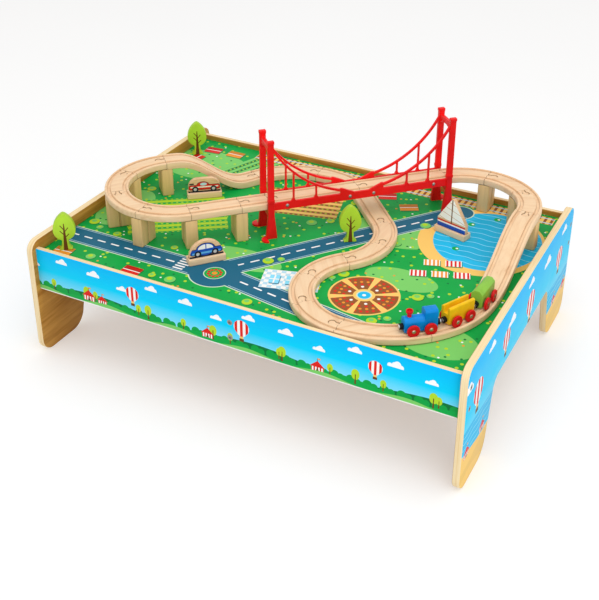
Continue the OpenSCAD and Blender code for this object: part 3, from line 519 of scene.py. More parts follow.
class WoodColours(bpy.types.PropertyGroup):
    edge: tint("Board edge", "Pale edges of the panels and rails", "#fbe3b6")
    edge_line: tint("Board edge line", "Fine lines in the board edges", "#f0cf96")
    inside: tint("Board inside", "Bare inner faces", "#cd984a")
    inside_dark: tint("Board inside grain", "Grain of the inner faces", "#aa742f")
    beech: tint("Beech", "Light tone of the track", "#f7d6ae")
    beech_mid: tint("Beech middle", "Middle tone of the track", "#f1ca9f")
    beech_dark: tint("Beech fleck", "Grain flecks of the track", "#dcae82")
    pillar: tint("Pillar", "Light tone of the pillars", "#efc88c")


class PaintColours(bpy.types.PropertyGroup):
    bridge: tint("Bridge", "Red plastic of the bridge", "#fa1a1a")
    engine: tint("Engine", "Blue of the engine", "#008ade")
    hopper: tint("Open wagon", "Yellow of the open wagon", "#fdc81a")
    boxcar: tint("Box wagon", "Green of the box wagon", "#90c948")
    wheel: tint("Wheel", "Red of the wheels and the funnel", "#e3141c")
    coupling: tint("Coupling", "Black of the coupling cups", "#151517")
    steel: tint("Steel", "Magnets and painted wheel discs", "#c9cacd")
    pin: tint("Axle pin", "Dull pins of the wheels", "#b9ad94")
    dark_steel: tint("Dark steel", "Dull screws", "#a29e97")
    tree: tint("Tree", "Lime of the standing trees", "#bbe53c")
    car: tint("Car", "Blue of the car picture", "#1c55c0")
    car_low: tint("Car sill", "Light blue below the doors", "#62b4ee")
    outline: tint("Outline", "Dark lines of the block pictures", "#17202e")


class PieceSizes(bpy.types.PropertyGroup):
    panel: length("Panel rounding", "Edges of the end panels and rails", 1.6)
    track: length("Track rounding", "Edges of the track pieces", 0.7)
    pillar: length("Pillar rounding", "Edges of the pillars", 0.7)
    bridge: length("Bridge rounding", "Edges of the towers", 0.5)
    tower_swell: length("Tower fullness", "How much fuller the moulded towers are", 1.0)
    train: length("Train rounding", "Edges of the painted vehicles", 0.5)
    wheel: length("Wheel rounding", "Edges of the wheels and the funnel", 0.5)
    block: length("Block rounding", "Edges of the trees and blocks", 0.9)
    picture_scale: number("Picture scale", "Size of the pictures on the blocks", 1.3, min=0.1)


class StageSettings(bpy.types.PropertyGroup):
    lens: number("Lens", "Focal length on a 36 mm sensor", 63.78, min=10, unit="CAMERA")
    rise_share: number(
        "Lens rise", "Upright shift of the lens as a share of the frame", -1 / 6, min=-1, max=1,
    )
    stand: bpy.props.FloatVectorProperty(
        name="Camera place", description="Where the camera stands", subtype="XYZ", unit="LENGTH",
        default=(0.6972, -1.3824, 1.0572),
    )
    yaw: number("Yaw", "Turn of the camera to the left", 0.4779, subtype="ANGLE")
    pitch: number("Pitch", "Tilt of the camera downwards", 0.4784, subtype="ANGLE")
    roll: number("Roll", "Roll of the camera", 0.0022, subtype="ANGLE")
    key: number("Key light", "Power of the large lamp overhead", 16, min=0, unit="POWER")
    fill: number("Fill light", "Power of the lamp at the front", 8, min=0, unit="POWER")
    world: number("World light", "Strength of the even light all round", 0.72, min=0)
    glow: number(
        "Floor glow", "Share of the glow that the camera sees in the floor", 0.3, min=0, max=1,
        subtype="FACTOR",
    )
    glow_strength: number(
        "Glow strength", "Brings the floor clear of shadow up to plain white", 1.38, min=0,
    )
    glow_tone: tint("Glow tone", "Warm tone that the shadows keep", "#fff8f2")
    floor: tint("Floor", "Pale studio floor", "#f8fcff")


class TrainTable(bpy.types.PropertyGroup):
    prints: bpy.props.PointerProperty(type=PrintColours)
    woods: bpy.props.PointerProperty(type=WoodColours)
    paints: bpy.props.PointerProperty(type=PaintColours)
    sizes: bpy.props.PointerProperty(type=PieceSizes)
    stage: bpy.props.PointerProperty(type=StageSettings)


# Finishes

# A face points along a print's axis above FACING, and is a cut-out's broad side above BROADSIDE
FACING = 0.6
BROADSIDE = 0.75
# How the grain of bare faces and the plies of sawn edges are drawn out, by the axis across a board
GRAIN = {"X": (90, 7, 110), "Y": (7, 90, 110)}
PLIES = {"X": (900, 9, 9), "Y": (9, 900, 9)}
# How far into corners, seams and contacts the painted shade of beech pieces reaches
CORNER_SHADE_REACH = 2 * MM


def bare_wood(paint, woods, across):
    """Bare face of a flat-pack board: returns its colour and its grain."""
    grain = paint.fibre(GRAIN[across], 5.0)
    return paint.ramp(grain, (0.32, woods.inside_dark), (0.62, woods.inside)), grain


def printed_board(paint, woods, picture, side, across):
    """Print on the outer face, bare wood within and pale edges, with one satin lacquer."""
    inside, grain = bare_wood(paint, woods, across)
    plies = paint.fibre(PLIES[across], 2.0)
    edge = paint.ramp(plies, (0.34, woods.edge_line), (0.56, woods.edge))
    bare = paint.mix(abs(side).above(FACING), edge, inside)
    printed = side.above(FACING)
    paint.set("Base Color", paint.mix(printed, bare, picture.colour))
    peel = paint.noise(900.0, 2.0)
    paint.bump(grain * (1.0 - printed) * 0.7 + peel * 0.3, 0.06 * MM)
    paint.set("Roughness", paint.noise(30.0, 3.0) * 0.12 + 0.32)


def beech_tone(paint, dark, middle, light, streak, fleck):
    """Sanded beech: soft streaks along the grain, short darker flecks, and painted shade in seams,
    corners and contacts.
    """
    tone = paint.ramp(streak, (0.26, dark), (0.42, middle), (0.6, light))
    flecked = paint.mix((fleck - 0.6).math("MULTIPLY", 4.0, clamp=True) * 0.5, tone, dark)
    drift = paint.noise(16.0, 2.0)
    wood = paint.mix(drift * 0.45, flecked, light)
    # Painted shade: ambient occlusion darkens seams, corners and contacts towards a deep tone of
    # the fleck colour
    reach = {"Distance": CORNER_SHADE_REACH}
    open_air = paint.node("ShaderNodeAmbientOcclusion", {"samples": 8}, reach, "AO")
    paint.set("Base Color", paint.mix((1.0 - open_air) * 1.2, wood, shade(dark, 0.3)))
    paint.set("Roughness", streak * 0.2 + 0.4)
    paint.bump(streak * 0.6 + fleck * 0.4, 0.07 * MM)


def beech_finish(name, woods, turn):
    paint = Paint(name + "_beech", gloss=0.25)
    turned = paint.local((0.0, 0.0, 0.0), turn)
    streak = paint.fibre((9, 120, 120), spot=turned)
    fleck = paint.fibre((150, 1300, 1300), 2.0, turned)
    beech_tone(paint, woods.beech_dark, woods.beech_mid, woods.beech, streak, fleck)
    paint.apply(name)


def painted_wood(name, colour, roughness=0.3):
    """Gloss paint over wood: slight drift of tone, a trace of grain and rubbed patches."""
    paint = Paint(name, roughness, coat=0.04, gloss=0.14)
    drift = paint.noise(55.0, 3.0)
    tones = (0.3, shade(colour, 0.86)), (0.7, shade(colour, 1.06))
    paint.set("Base Color", paint.ramp(drift, *tones))
    grain = paint.fibre((120, 700, 700), 3.0)
    paint.set("Roughness", grain * 0.2 + roughness - 0.08)
    paint.bump(grain, 0.06 * MM)
    return paint


def moulded_plastic(name, colour, roughness):
    """Moulded plastic with faint flow marks."""
    paint = Paint(name, roughness, gloss=0.16)
    drift = paint.noise(40.0, 2.0)
    paint.set("Base Color", paint.ramp(drift, (0.35, shade(colour, 0.88)), (0.65, tuple(colour))))
    flow = paint.noise(600.0, 3.0)
    paint.set("Roughness", flow * 0.14 + roughness - 0.06)
    paint.bump(flow, 0.03 * MM)
    return paint


def bright_metal(name, colour, roughness):
    """Turned metal with fine scratches."""
    paint = Paint(name, roughness, metallic=1.0, gloss=0.5)
    scratch = paint.fibre((4000, 900, 900), 3.0)
    paint.set("Base Color", paint.ramp(scratch, (0.3, shade(colour, 0.8)), (0.7, tuple(colour))))
    paint.set("Roughness", scratch * 0.2 + roughness - 0.08)
    return paint


def painted_cutout(paint, heading, picture, edge, grain, wear):
    """Picture on both broad sides of a standing board, and a plain tone on its edges."""
    nx, ny, _ = paint.split(paint.facing)
    broad = abs(ny * math.cos(heading) - nx * math.sin(heading)).above(BROADSIDE)
    paint.set("Base Color", paint.mix(broad, edge, picture.colour))
    paint.set("Roughness", grain * wear + 0.34)
    paint.bump(grain, 0.04 * MM)


# One operator for each piece or group of like pieces


class Step:
    """What the operators share."""

    bl_options = {"REGISTER", "UNDO"}


class TRAINTABLE_OT_panels(Step, bpy.types.Operator):
    """Round the end panels, print their outer faces and finish their edges"""

    bl_idname = "train_table.panels"
    bl_label = "Dress End Panels"

    BROAD_FACE = 5 * MM * MM

    def execute(self, context):
        table = context.scene.train_table
        paint = Paint("panel_print", gloss=0.07)
        x, y, z = paint.split(paint.spot)
        out = x.math("SIGN")
        picture = Picture(paint, y * out / MM, z / MM, table.prints.sky_high)
        self.lay_print(picture, table.prints)
        printed_board(paint, table.woods, picture, paint.split(paint.facing)[0] * out, "X")
        for name in ("left_panel", "right_panel"):
            soften(name, table.sizes.panel, least=self.BROAD_FACE)
            paint.apply(name)
        return {"FINISHED"}

    def lay_print(self, picture, colours):
        sky(picture, colours, 70.0, 205.0)
        row = picture.row(190.0, 25.0)
        for u, v, size in ((-50, 178, 30.0), (46, 191, 24.0)):
            lay_cloud(row, u, v, size, colours.cloud)
        picture.colour = row.colour
        # Water with ripples, then a sandy shore down to the feet
        hills(picture, 104.0, 4.0, 330.0, 0.4, colours.water)
        ripple = (picture.u / 7.0).math("SINE") * 1.2 + picture.v
        below = picture.soft(100.0 - picture.v)
        picture.lay(picture.beat(ripple, 11.0, 0.14) & below, colours.sky_low)
        hills(picture, 62.0, 9.0, 300.0, 2.0, colours.sand)
        hills(picture, 40.0, 6.0, 190.0, 0.7, shade(colours.sand, 0.93))
        for u, v, size in ((-220, 150, 40.0), (-96, 160, 34.0), (28, 152, 42.0), (196, 148, 36.0)):
            lay_balloon(picture, u, v, size, colours)
        for u in (-252, -186, 190, 250):
            lay_tent(picture, u, 56.0, 24.0, colours)
        hills(picture, 18.0, 5.0, 120.0, 1.1, colours.sand)


class TRAINTABLE_OT_rails(Step, bpy.types.Operator):
    """Round the rails, print their outer faces and finish their edges"""

    bl_idname = "train_table.rails"
    bl_label = "Dress Rails"

    def execute(self, context):
        table = context.scene.train_table
        paint = Paint("rail_print", gloss=0.07)
        low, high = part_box("front_rail")
        x, y, z = paint.split(paint.spot)
        out = y.math("SIGN")
        picture = Picture(paint, -(x * out) / MM, (z - low.z) / MM, table.prints.sky_high)
        self.lay_print(picture, table.prints, (high.z - low.z) / MM)
        printed_board(paint, table.woods, picture, paint.split(paint.facing)[1] * out, "Y")
        for name in ("front_rail", "back_rail"):
            soften(name, table.sizes.panel, clamp=True)
            paint.apply(name)
        return {"FINISHED"}

    def lay_print(self, picture, colours, tall):
        sky(picture, colours, 0.1 * tall, tall)
        row = picture.row(172.0, 20.0)
        for u, v, size in ((-58, 57, 20.0), (-4, 46, 16.0), (52, 62, 18.0)):
            lay_cloud(row, u, v, size, colours.cloud)
        picture.colour = row.colour
        # Far forest, a row of bushes, then nearer slopes with trees
        hills(picture, 14.0, 6.0, 290.0, 0.6, colours.forest)
        row = picture.row(26.0, 5.0)
        mask = row.disc(-4.0, 11.0, 7.5) | row.disc(6.0, 9.5, 6.0)
        picture.lay(mask, shade(colours.grass, 0.9))
        hills(picture, 9.5, 4.5, 210.0, 2.2, colours.grass)
        for period, shift, v, size in ((118.0, 30.0, 6.0, 24.0), (83.0, 0.0, 8.0, 18.0)):
            row = picture.row(period, shift)
            lay_tree(row, 0.0, v, size, colours.lime, colours.trunk)
            picture.colour = row.colour
        for u, size in ((-262, 25.0), (-236, 20.0), (-40, 22.0), (146, 24.0)):
            lay_tent(picture, u, 6.0, size, colours)
        hills(picture, 4.6, 3.6, 128.0, 0.2, colours.meadow)
        for u, v, size in ((-176, 44, 24.0), (20, 42, 26.0), (236, 44, 22.0)):
            lay_balloon(picture, u, v, size, colours)
        picture.lay(picture.soft(1.6 - picture.v), colours.white)


class TRAINTABLE_OT_board(Step, bpy.types.Operator):
    """Print the play board"""

    bl_idname = "train_table.board"
    bl_label = "Dress Play Board"

    # Half width of the roads; middle, half length and turn of each; then the places beside them
    ROAD = 22.0
    ROADS = ((-240.0, -178.0, 170.0, 0.0), (60.0, 12.0, 226.0, 0.92), (60.0, -196.0, 130.0, -0.16))
    CIRCLE = (-76.0, -178.0, 40.0)
    GARDEN = (158.0, -128.0)
    SQUARE = (40.0, -142.0, 0.3)
    STALL_TURN = 0.35

    def execute(self, context):
        table = context.scene.train_table
        paint = Paint("play_board_print", gloss=0.08)
        x, y, _ = paint.split(paint.spot)
        drift = paint.noise(18.0, 4.0)
        tones = (0.35, shade(table.prints.grass, 0.86)), (0.65, tuple(table.prints.grass))
        picture = Picture(paint, x / MM, y / MM, paint.ramp(drift, *tones), 0.4)
        self.lay_fields(picture, table.prints)
        self.lay_roads(picture, table.prints)
        self.lay_town(picture, table.prints)
        printed_board(paint, table.woods, picture, paint.split(paint.facing)[2], "Y")
        paint.apply("play_board")
        return {"FINISHED"}

    def lay_fields(self, picture, colours):
        meadows = ((-60, -120, 70, 30), (120, 70, 80, 46), (-300, 150, 90, 60), (300, -190, 60, 40),
                   (-330, -60, 40, 70), (190, -60, 60, 30))
        for u, v, ru, rv in meadows:
            picture.lay(picture.oval(u, v, ru, rv), colours.meadow)
        # Tufts and small flowers strewn over the grass
        for size, r, tone in ((26.0, 2.6, colours.lime), (34.0, 2.0, colours.forest),
                              (46.0, 1.7, colours.cloud), (62.0, 1.9, colours.orange)):
            sizes = {"Vector": picture.spot, "Scale": 1.0 / size, "Randomness": 0.9}
            far = picture.paint.node(
                "ShaderNodeTexVoronoi", {"voronoi_dimensions": "2D"}, sizes, "Distance"
            )
            picture.lay(picture.within(far * size, r), tone)
        # Ploughed and planted strips
        for u, v, r, angle, tones in (
            (-234, -42, 84, 0.6, (colours.lime, colours.grass)),
            (-60, 98, 66, 0.25, (colours.sand, colours.soil)),
            (-206, 168, 58, 1.2, (colours.meadow, colours.forest)),
        ):
            field = picture.slab(u, v, r, 0.72 * r, angle)
            along, across = picture.turned(u, v, angle)
            picture.lay(field, tones[0])
            picture.lay(field & picture.beat(across, 15.0, 0.45), tones[1])
            tuft = picture.pill(picture.repeat(along, 9.0), picture.repeat(across, 15.0), 0.5, 1.6)
            picture.lay(field & tuft, colours.lime)
        # Pond with a sandy shore and ripples
        picture.lay(picture.oval(262, 112, 104, 112), colours.sand)
        pond = picture.oval(270, 118, 88, 98)
        picture.lay(pond, colours.water)
        picture.lay(picture.oval(276, 124, 68, 78), shade(colours.water, 0.86))
        wave = (picture.u / 6.0).math("SINE") * 1.3 + picture.v
        picture.lay(pond & picture.beat(wave, 17.0, 0.09), colours.sky_low)
        for u, v in ((232, 70), (300, 60), (228, 160), (318, 176), (262, 196)):
            picture.lay(picture.disc(u, v, 6.0), colours.grass)
            picture.lay(picture.disc(u + 2, v + 1, 2.2), colours.white)
        # Boardwalk of planks along the back
        along, across = picture.turned(60.0, 232.0, 0.0)
        walk = picture.soft((290.0 - abs(along)) & (13.0 - abs(across)))
        picture.lay(walk, colours.sand)
        picture.lay(walk & picture.beat(along, 11.0, 0.42), colours.soil)
        picture.lay(walk & picture.soft(1.4 - abs(abs(across) - 8.0)), colours.paving)

    def lay_roads(self, picture, colours):
        u0, v0, r0 = self.CIRCLE
        lines = [picture.turned(u, v, angle) for u, v, half, angle in self.ROADS]
        halves = [half for u, v, half, angle in self.ROADS]
        for width, tone in ((self.ROAD + 2.0, colours.kerb), (self.ROAD, colours.road)):
            bars = (picture.pill(*line, half, width) for line, half in zip(lines, halves))
            picture.lay(picture.disc(u0, v0, r0 + width - self.ROAD) | union(bars), tone)
        off_circle = picture.soft(picture.far(u0, v0) - r0 - 3.0)
        for (along, across), half in zip(lines, halves):
            dash = picture.pill(picture.repeat(along, 27.0), across, 6.5, 1.6)
            picture.lay(dash & picture.soft(half - abs(along)) & off_circle, colours.cloud)
            for side in (-1, 1):
                line = picture.soft(0.5 - abs(across + side * (self.ROAD - 3.0)))
                picture.lay(line & picture.soft(half - abs(along)) & off_circle, colours.paving)
        along, across = lines[0]
        stripes = picture.beat(across, 7.0, 0.5) & picture.within(abs(across), self.ROAD - 4.0)
        picture.lay(stripes & picture.within(abs(along - 104.0), 9.0), colours.cloud)
        # Round island with a flower bed
        picture.lay(picture.disc(u0, v0, 18.0), colours.kerb)
        picture.lay(picture.disc(u0, v0, 16.5), colours.grass)
        turn = (picture.v - v0).math("ARCTAN2", picture.u - u0)
        step = picture.repeat(turn * 10.0, 2 * math.pi)
        picture.lay(picture.pill(step, picture.far(u0, v0) - 10.0, 0.0, 2.6), colours.red)
        picture.lay(picture.disc(u0, v0, 4.5), colours.orange)

    def lay_town(self, picture, colours):
        # Chequered square with pavilions
        along, across = picture.turned(*self.SQUARE)
        square = picture.soft((46.0 - abs(along)) & (27.0 - abs(across)))
        picture.lay(square, colours.white)
        bars = picture.beat(along, 15.0, 0.5), picture.beat(across, 15.0, 0.5)
        check = 0.5 - (bars[0] - 0.5) * (bars[1] - 0.5)
        picture.lay(square & check, colours.paving)
        halls = [moved(self.SQUARE, step) for step in (-26.0, 0.0, 26.0)]
        picture.lay_slabs(halls, 8.0, 12.0, colours.road, 2.0)
        picture.lay_slabs(halls, 8.0, 12.0, colours.sky_low)
        picture.lay_slabs(halls, 8.0, 1.2, colours.white)
        picture.lay_slabs(halls, 1.2, 12.0, colours.white)
        # Round garden of six beds with rows of flowers
        u, v = self.GARDEN
        far = picture.far(u, v)
        turn = (picture.v - v).math("ARCTAN2", picture.u - u)
        picture.lay(picture.within(far, 55.0), colours.sand)
        wedge = 1.5 - abs(picture.repeat(turn, math.pi / 3)) * 3.6
        beds = picture.soft((wedge * far) & (52.0 - far) & (far - 17.0))
        picture.lay(beds, colours.soil)
        tones = (colours.white, colours.red, colours.orange, colours.red)
        for r, count, tone in zip((24.0, 31.0, 38.0, 45.0), (12, 18, 24, 30), tones):
            step = picture.repeat(turn, 2 * math.pi / count) * r
            picture.lay(picture.pill(step, far - r, 0.0, 2.5) & beds, tone)
        picture.lay(picture.within(far, 12.0), colours.kerb)
        picture.lay(picture.within(far, 10.0), colours.water)
        picture.lay(picture.within(far, 3.0), colours.white)
        # Striped market stalls
        places = ((206, -30), (238, -18), (270, -6), (214, 10), (246, 22))
        stalls = [(*place, self.STALL_TURN) for place in places]
        picture.lay_slabs(stalls, 13.0, 9.0, colours.forest, 2.0)
        picture.lay_slabs(stalls, 13.0, 9.0, colours.white)
        for half, tone in ((stalls[::2], colours.red), (stalls[1::2], colours.orange)):
            bars = [moved(stall, step) for stall in half for step in (-9.7, -3.2, 3.3, 9.8)]
            picture.lay_slabs(bars, 1.6, 9.0, tone)
        # Roofs and bushes
        roofs = (
            (-318, 214, 0.1), (-270, 216, 0.0), (-330, 168, 1.4), (-120, 206, 0.3), (-64, 190, 0.2),
            (110, 168, 0.5), (60, 190, 0.4), (-330, -232, 0.1), (-196, -232, 0.0), (316, -80, 1.5),
        )
        for i, tone in enumerate((colours.red, colours.orange)):
            lay_roofs(picture, roofs[i::2], 32.0, tuple(tone), colours)
        bushes = (
            (-346, -128, 9), (-326, -140, 6), (-286, -146, 7), (-232, -148, 9), (-176, -140, 6),
            (-140, -112, 8), (-20, -106, 9), (-4, -92, 6), (10, -226, 8), (-128, -226, 9),
            (-160, -228, 6), (-280, -226, 8), (196, -186, 8), (214, -170, 6), (104, -86, 9),
            (92, -104, 6), (232, -96, 9), (248, -84, 6), (300, -120, 9), (140, 40, 8), (120, 54, 6),
            (84, 96, 9), (10, 60, 7), (-16, 40, 9), (-140, 60, 8), (-152, 76, 6), (-340, 70, 9),
            (-352, 86, 6), (-330, 20, 8), (-250, 128, 7), (20, 140, 8), (160, 120, 9),
        )
        lay_bushes(picture, bushes, colours)


class TRAINTABLE_OT_beam(Step, bpy.types.Operator):
    """Finish the cross-beam under the board"""

    bl_idname = "train_table.beam"
    bl_label = "Dress Cross-Beam"

    def execute(self, context):
        table = context.scene.train_table
        paint = Paint("beam_wood")
        inside, grain = bare_wood(paint, table.woods, "X")
        paint.set("Base Color", inside)
        paint.set("Roughness", grain * 0.2 + 0.5)
        paint.bump(grain, 0.1 * MM)
        paint.apply("centre_beam")
        return {"FINISHED"}


class TRAINTABLE_OT_track(Step, bpy.types.Operator):
    """Round the track and the pillars and finish them in beech"""

    bl_idname = "train_table.track"
    bl_label = "Dress Track"

    GRAIN_TURNS = {
        "loop_curves": 0.9, "approach_tracks": math.pi / 4, "deck_left": math.pi / 4,
        "deck_right": math.pi / 4, "right_curves": 0.3, "right_ramp": math.pi / 2,
        "wide_curves": 0.8, "front_curves": 2.2, "s_curves": 1.6, "link_track": 2.29,
        "back_curves": 0.2, "snake_ramp": 0.7,
    }

    def execute(self, context):
        table = context.scene.train_table
        for name, turn in self.GRAIN_TURNS.items():
            soften(name, table.sizes.track)
            beech_finish(name, table.woods, turn)
        soften("pillars", table.sizes.pillar)
        paint = Paint("pillar_beech", gloss=0.25)
        streak = paint.fibre((120, 120, 9))
        fleck = paint.fibre((1300, 1300, 150), 2.0)
        light = tuple(table.woods.pillar)
        beech_tone(paint, shade(light, 0.74), shade(light, 0.9), light, streak, fleck)
        paint.apply("pillars")
        return {"FINISHED"}


class TRAINTABLE_OT_bridge(Step, bpy.types.Operator):
    """Round the towers and finish the bridge in red plastic"""

    bl_idname = "train_table.bridge"
    bl_label = "Dress Bridge"

    def execute(self, context):
        table = context.scene.train_table
        for name in ("tower_left", "tower_right"):
            soften(name, table.sizes.bridge, table.sizes.tower_swell)
        paint = moulded_plastic("bridge_plastic", table.paints.bridge, 0.32)
        paint.apply("tower_left", "tower_right", *PLATES)
        return {"FINISHED"}


class TRAINTABLE_OT_metal(Step, bpy.types.Operator):
    """Finish the screws, pins and magnets in steel"""

    bl_idname = "train_table.metal"
    bl_label = "Dress Metal"

    def execute(self, context):
        paints = context.scene.train_table.paints
        screws = ("panel_screws", "beam_screws", "bridge_screws")
        bright_metal("screw_steel", paints.dark_steel, 0.4).apply(*screws)
        axles = [f"{car}_{end}_axle" for car in CARS for end in ENDS]
        bright_metal("pin_steel", paints.pin, 0.32).apply(*axles)
        magnets = [f"{car}_magnets" for car in CARS]
        bright_metal("magnet_steel", paints.steel, 0.25).apply(*magnets)
        return {"FINISHED"}


class TRAINTABLE_OT_train(Step, bpy.types.Operator):
    """Round and paint the train"""

    bl_idname = "train_table.train"
    bl_label = "Dress Train"

    def execute(self, context):
        table = context.scene.train_table
        paints = table.paints
        for car in CARS:
            soften(car + "_body", table.sizes.train, clamp=car == "engine")
            painted_wood(car + "_paint", tuple(getattr(paints, car))).apply(car + "_body")
        soften("engine_funnel", table.sizes.wheel)
        painted_wood("funnel_paint", tuple(paints.wheel)).apply("engine_funnel")
        wheels = [f"{car}_{end}_wheels" for car in CARS for end in ENDS]
        for name in wheels:
            soften(name, table.sizes.wheel)
        moulded_plastic("wheel_plastic", paints.wheel, 0.28).apply(*wheels)
        cups = [f"{car}_cups" for car in CARS]
        moulded_plastic("cup_plastic", paints.coupling, 0.4).apply(*cups)
        return {"FINISHED"}


class TRAINTABLE_OT_trees(Step, bpy.types.Operator):
    """Round and paint the standing trees"""

    bl_idname = "train_table.trees"
    bl_label = "Dress Trees"

    heading: number(
        "Heading", "Direction of a tree's broad side", math.radians(35), subtype="ANGLE",
    )

    def execute(self, context):
        table = context.scene.train_table
        tree = tuple(table.paints.tree)
        for name in ("tree_front", "tree_back", "tree_middle"):
            soften(name, table.sizes.block)
            paint = Paint(name + "_paint", gloss=0.2)
            low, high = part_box(name)
            middle = (low + high) / 2
            u, _, v = paint.split(paint.local((middle.x, middle.y, low.z), self.heading))
            ground = paint.ramp(paint.noise(60.0), (0.3, shade(tree, 0.9)), (0.7, tree))
            picture = Picture(paint, u / MM, v / MM, ground)
            self.lay_trunk(picture, table.prints.trunk, (high.z - low.z) / MM)
            grain = paint.noise(500.0)
            # Painted shade: the narrow edges are painted a darker lime than the broad sides
            painted_cutout(paint, self.heading, picture, shade(tree, 0.82), grain, 0.16)
            paint.apply(name)
        return {"FINISHED"}

    def lay_trunk(self, picture, tone, tall):
        # Stem that narrows upwards, with branches on both sides
        stem = 0.055 * tall - picture.v * 0.062 - abs(picture.u)
        picture.lay(picture.soft(stem & (0.74 * tall - picture.v)), tone)
        for v, turn in ((0.34, 0.8), (0.42, 2.3), (0.5, 0.9), (0.56, 2.2)):
            reach = 0.075 * tall
            u = reach * math.cos(turn)
            along, across = picture.turned(u, v * tall + reach * math.sin(turn), turn)
            picture.lay(picture.pill(along, across, reach, 0.011 * tall), tone)


class TRAINTABLE_OT_blocks(Step, bpy.types.Operator):
    """Round the blocks, finish them in beech and paint their pictures"""

    bl_idname = "train_table.blocks"
    bl_label = "Dress Blocks"

    def execute(self, context):
        table = context.scene.train_table
        pictures = {
            "blue_car": self.lay_saloon, "race_car": self.lay_racer, "sailboat": self.lay_boat,
        }
        for block, lay_picture in pictures.items():
            heading = joint_heading(block + "_push")
            for part in ("_base", "_board"):
                soften(block + part, table.sizes.block)
            beech_finish(block + "_base", table.woods, heading)
            low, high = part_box(block + "_base")
            middle = (low + high) / 2
            paint = Paint(block + "_picture", gloss=0.2)
            u, _, v = paint.split(paint.local((middle.x, middle.y, high.z), heading))
            grain = paint.fibre((60, 60, 600))
            woods = table.woods
            wood = paint.ramp(grain, (0.3, woods.beech_dark), (0.6, woods.beech_mid))
            scale = table.sizes.picture_scale * MM
            picture = Picture(paint, u / scale, v / scale, wood)
            lay_picture(picture, table)
            painted_cutout(paint, heading, picture, wood, grain, 0.14)
            paint.apply(block + "_board")
        return {"FINISHED"}

    def lay_wheels(self, picture, table, half):
        for u in (-half, half):
            picture.lay(picture.disc(u, 4.2, 4.4), table.paints.outline)
            picture.lay(picture.disc(u, 4.2, 2.2), table.paints.steel)

    def lay_saloon(self, picture, table):
        line, paints = table.paints.outline, table.paints
        picture.lay(picture.soft(2.0 - picture.v), line)
        cabin = picture.oval(-1.0, 9.5, 12.5, 9.2)
        along, across = picture.turned(0.0, 7.0, 0.0)
        picture.lay(cabin | picture.pill(along, across, 17.0, 4.4), line)
        cabin = picture.oval(-1.0, 9.5, 11.5, 8.2)
        picture.lay(cabin | picture.pill(along, across, 17.0, 3.5), paints.car)
        picture.lay(picture.slab(0.0, 5.2, 18.0, 1.3), paints.car_low)
        glass = picture.oval(-1.0, 10.5, 9.6, 6.0) & picture.soft(picture.v - 10.2)
        picture.lay(glass, table.prints.white)
        picture.lay(picture.slab(-0.5, 13.0, 0.6, 4.0), paints.car)
        self.lay_wheels(picture, table, 11.0)

    def lay_racer(self, picture, table):
        line, prints = table.paints.outline, table.prints
        picture.lay(picture.soft(2.0 - picture.v), line)
        along, across = picture.turned(0.0, 7.0, 0.0)
        hood = picture.oval(-2.0, 9.5, 9.0, 6.2)
        picture.lay(picture.pill(along, across, 18.0, 4.0) | hood, line)
        hood = picture.oval(-2.0, 9.5, 8.1, 5.3)
        picture.lay(picture.pill(along, across, 18.0, 3.2) | hood, prints.red)
        picture.lay(picture.slab(0.0, 7.4, 19.0, 0.9), prints.white)
        picture.lay(picture.oval(-1.0, 11.6, 4.6, 2.2), prints.paving)
        picture.lay(picture.slab(-18.0, 12.5, 4.0, 1.0), line)
        self.lay_wheels(picture, table, 12.5)

    def lay_boat(self, picture, table):
        prints = table.prints
        picture.lay(picture.soft(9.5 - picture.v), prints.soil)
        picture.lay(picture.within(abs(picture.v - 8.2), 1.0), prints.red)
        picture.lay(picture.within(abs(picture.v - 6.2), 1.0), prints.white)
        picture.lay(picture.soft(5.2 - picture.v), table.paints.car)
        sails = picture.soft(picture.v - 11.5)
        picture.lay(sails, prints.white)
        seam = picture.beat(picture.v + picture.u * 0.25, 9.0, 0.08)
        picture.lay(sails & seam, shade(table.woods.beech_dark, 0.9))
        picture.lay(picture.slab(0.0, 36.0, 0.8, 28.0), prints.trunk)


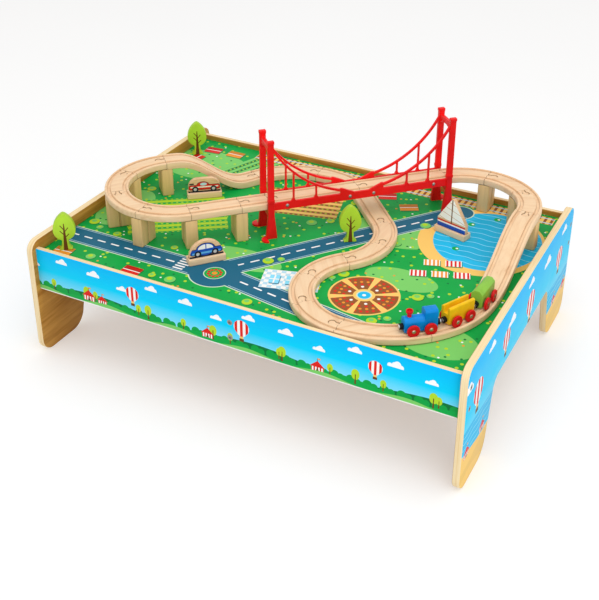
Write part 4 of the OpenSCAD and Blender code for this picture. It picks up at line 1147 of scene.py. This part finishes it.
class TRAINTABLE_OT_stage(Step, bpy.types.Operator):
    """Set the floor, the lamps, the world and the camera"""

    bl_idname = "train_table.stage"
    bl_label = "Set Stage"

    FLOOR_SIZE = 40
    SENSOR_WIDTH = 36
    # Where the lamps point, then their sizes and places
    AIM = Vector((0, 0, 0.15))
    KEY_LAMP = (2.2, (0.4, -0.5, 2.2))
    FILL_LAMP = (1.8, (1.7, -1.7, 1.2))

    def execute(self, context):
        scene = context.scene
        stage = scene.train_table.stage
        scene.view_settings.view_transform = "Standard"
        self.make_floor(context, stage)
        self.make_lamp(context, "key_lamp", stage.key, *self.KEY_LAMP)
        self.make_lamp(context, "fill_lamp", stage.fill, *self.FILL_LAMP)
        self.make_world(scene, stage)
        self.make_camera(context, stage)
        return {"FINISHED"}

    def make_floor(self, context, stage):
        bpy.ops.object.select_all(action="DESELECT")
        bpy.ops.mesh.primitive_plane_add(size=self.FLOOR_SIZE)
        floor = context.object
        floor.name = "studio_floor"
        paint = Paint("studio_floor", 0.9, gloss=0.0)
        drift = paint.noise(0.8)
        tone = tuple(stage.floor)
        paint.set("Base Color", paint.ramp(drift, (0.4, shade(tone, 0.985)), (0.6, tone)))
        paint.veil(
            "Material Output", stage.glow, "Principled BSDF", stage.glow_tone, stage.glow_strength,
        )
        floor.data.materials.append(paint.material)

    def make_lamp(self, context, name, power, size, place):
        bpy.ops.object.light_add(type="AREA", location=place)
        lamp = context.object
        lamp.name = name
        lamp.data.energy = power
        lamp.data.shape = "DISK"
        lamp.data.size = size
        ahead = self.AIM - Vector(place)
        lamp.rotation_euler = ahead.to_track_quat("-Z", "Y").to_euler()

    def make_world(self, scene, stage):
        world = bpy.data.worlds.new("studio_world")
        scene.world = world
        world.use_nodes = True
        nodes = Nodes(world.node_tree)
        light = nodes.tree.nodes["Background"]
        nodes.feed(light.inputs["Color"], rgba(WHITE))
        nodes.feed(light.inputs["Strength"], stage.world)
        nodes.veil("World Output", 1.0, "Background", WHITE, 1.0, "ShaderNodeBackground")

    def make_camera(self, context, stage):
        bpy.ops.object.camera_add()
        camera = context.object
        camera.name = "photo_camera"
        level = math.pi / 2
        turn = Matrix.Rotation(stage.yaw, 4, "Z") @ Matrix.Rotation(level - stage.pitch, 4, "X")
        turn = turn @ Matrix.Rotation(stage.roll, 4, "Z")
        camera.matrix_world = Matrix.Translation(stage.stand) @ turn
        camera.data.sensor_width = self.SENSOR_WIDTH
        camera.data.lens = stage.lens
        camera.data.shift_y = stage.rise_share
        context.scene.camera = camera


class TRAINTABLE_PT_panel(bpy.types.Panel):
    """Lists the steps and the settings of the train table"""

    bl_label = "Train Table"
    bl_idname = "TRAINTABLE_PT_panel"
    bl_space_type = "VIEW_3D"
    bl_region_type = "UI"
    bl_category = "Train Table"

    def draw(self, context):
        for step in OPERATORS:
            self.layout.operator(step.bl_idname)
        table = context.scene.train_table
        for group in (table.prints, table.woods, table.paints, table.sizes, table.stage):
            column = self.layout.column(align=True)
            for name in type(group).__annotations__:
                column.prop(group, name)


GROUPS = (PrintColours, WoodColours, PaintColours, PieceSizes, StageSettings, TrainTable)
OPERATORS = (
    TRAINTABLE_OT_panels,
    TRAINTABLE_OT_rails,
    TRAINTABLE_OT_board,
    TRAINTABLE_OT_beam,
    TRAINTABLE_OT_track,
    TRAINTABLE_OT_bridge,
    TRAINTABLE_OT_metal,
    TRAINTABLE_OT_train,
    TRAINTABLE_OT_trees,
    TRAINTABLE_OT_blocks,
    TRAINTABLE_OT_stage,
)


def register():
    for made in (*GROUPS, *OPERATORS, TRAINTABLE_PT_panel):
        bpy.utils.register_class(made)
    bpy.types.Scene.train_table = bpy.props.PointerProperty(type=TrainTable)


def unregister():
    del bpy.types.Scene.train_table
    for made in reversed((*GROUPS, *OPERATORS, TRAINTABLE_PT_panel)):
        bpy.utils.unregister_class(made)


def main():
    register()
    for step in OPERATORS:
        group, name = step.bl_idname.split(".")
        getattr(getattr(bpy.ops, group), name)()


if __name__ == "__main__":
    main()
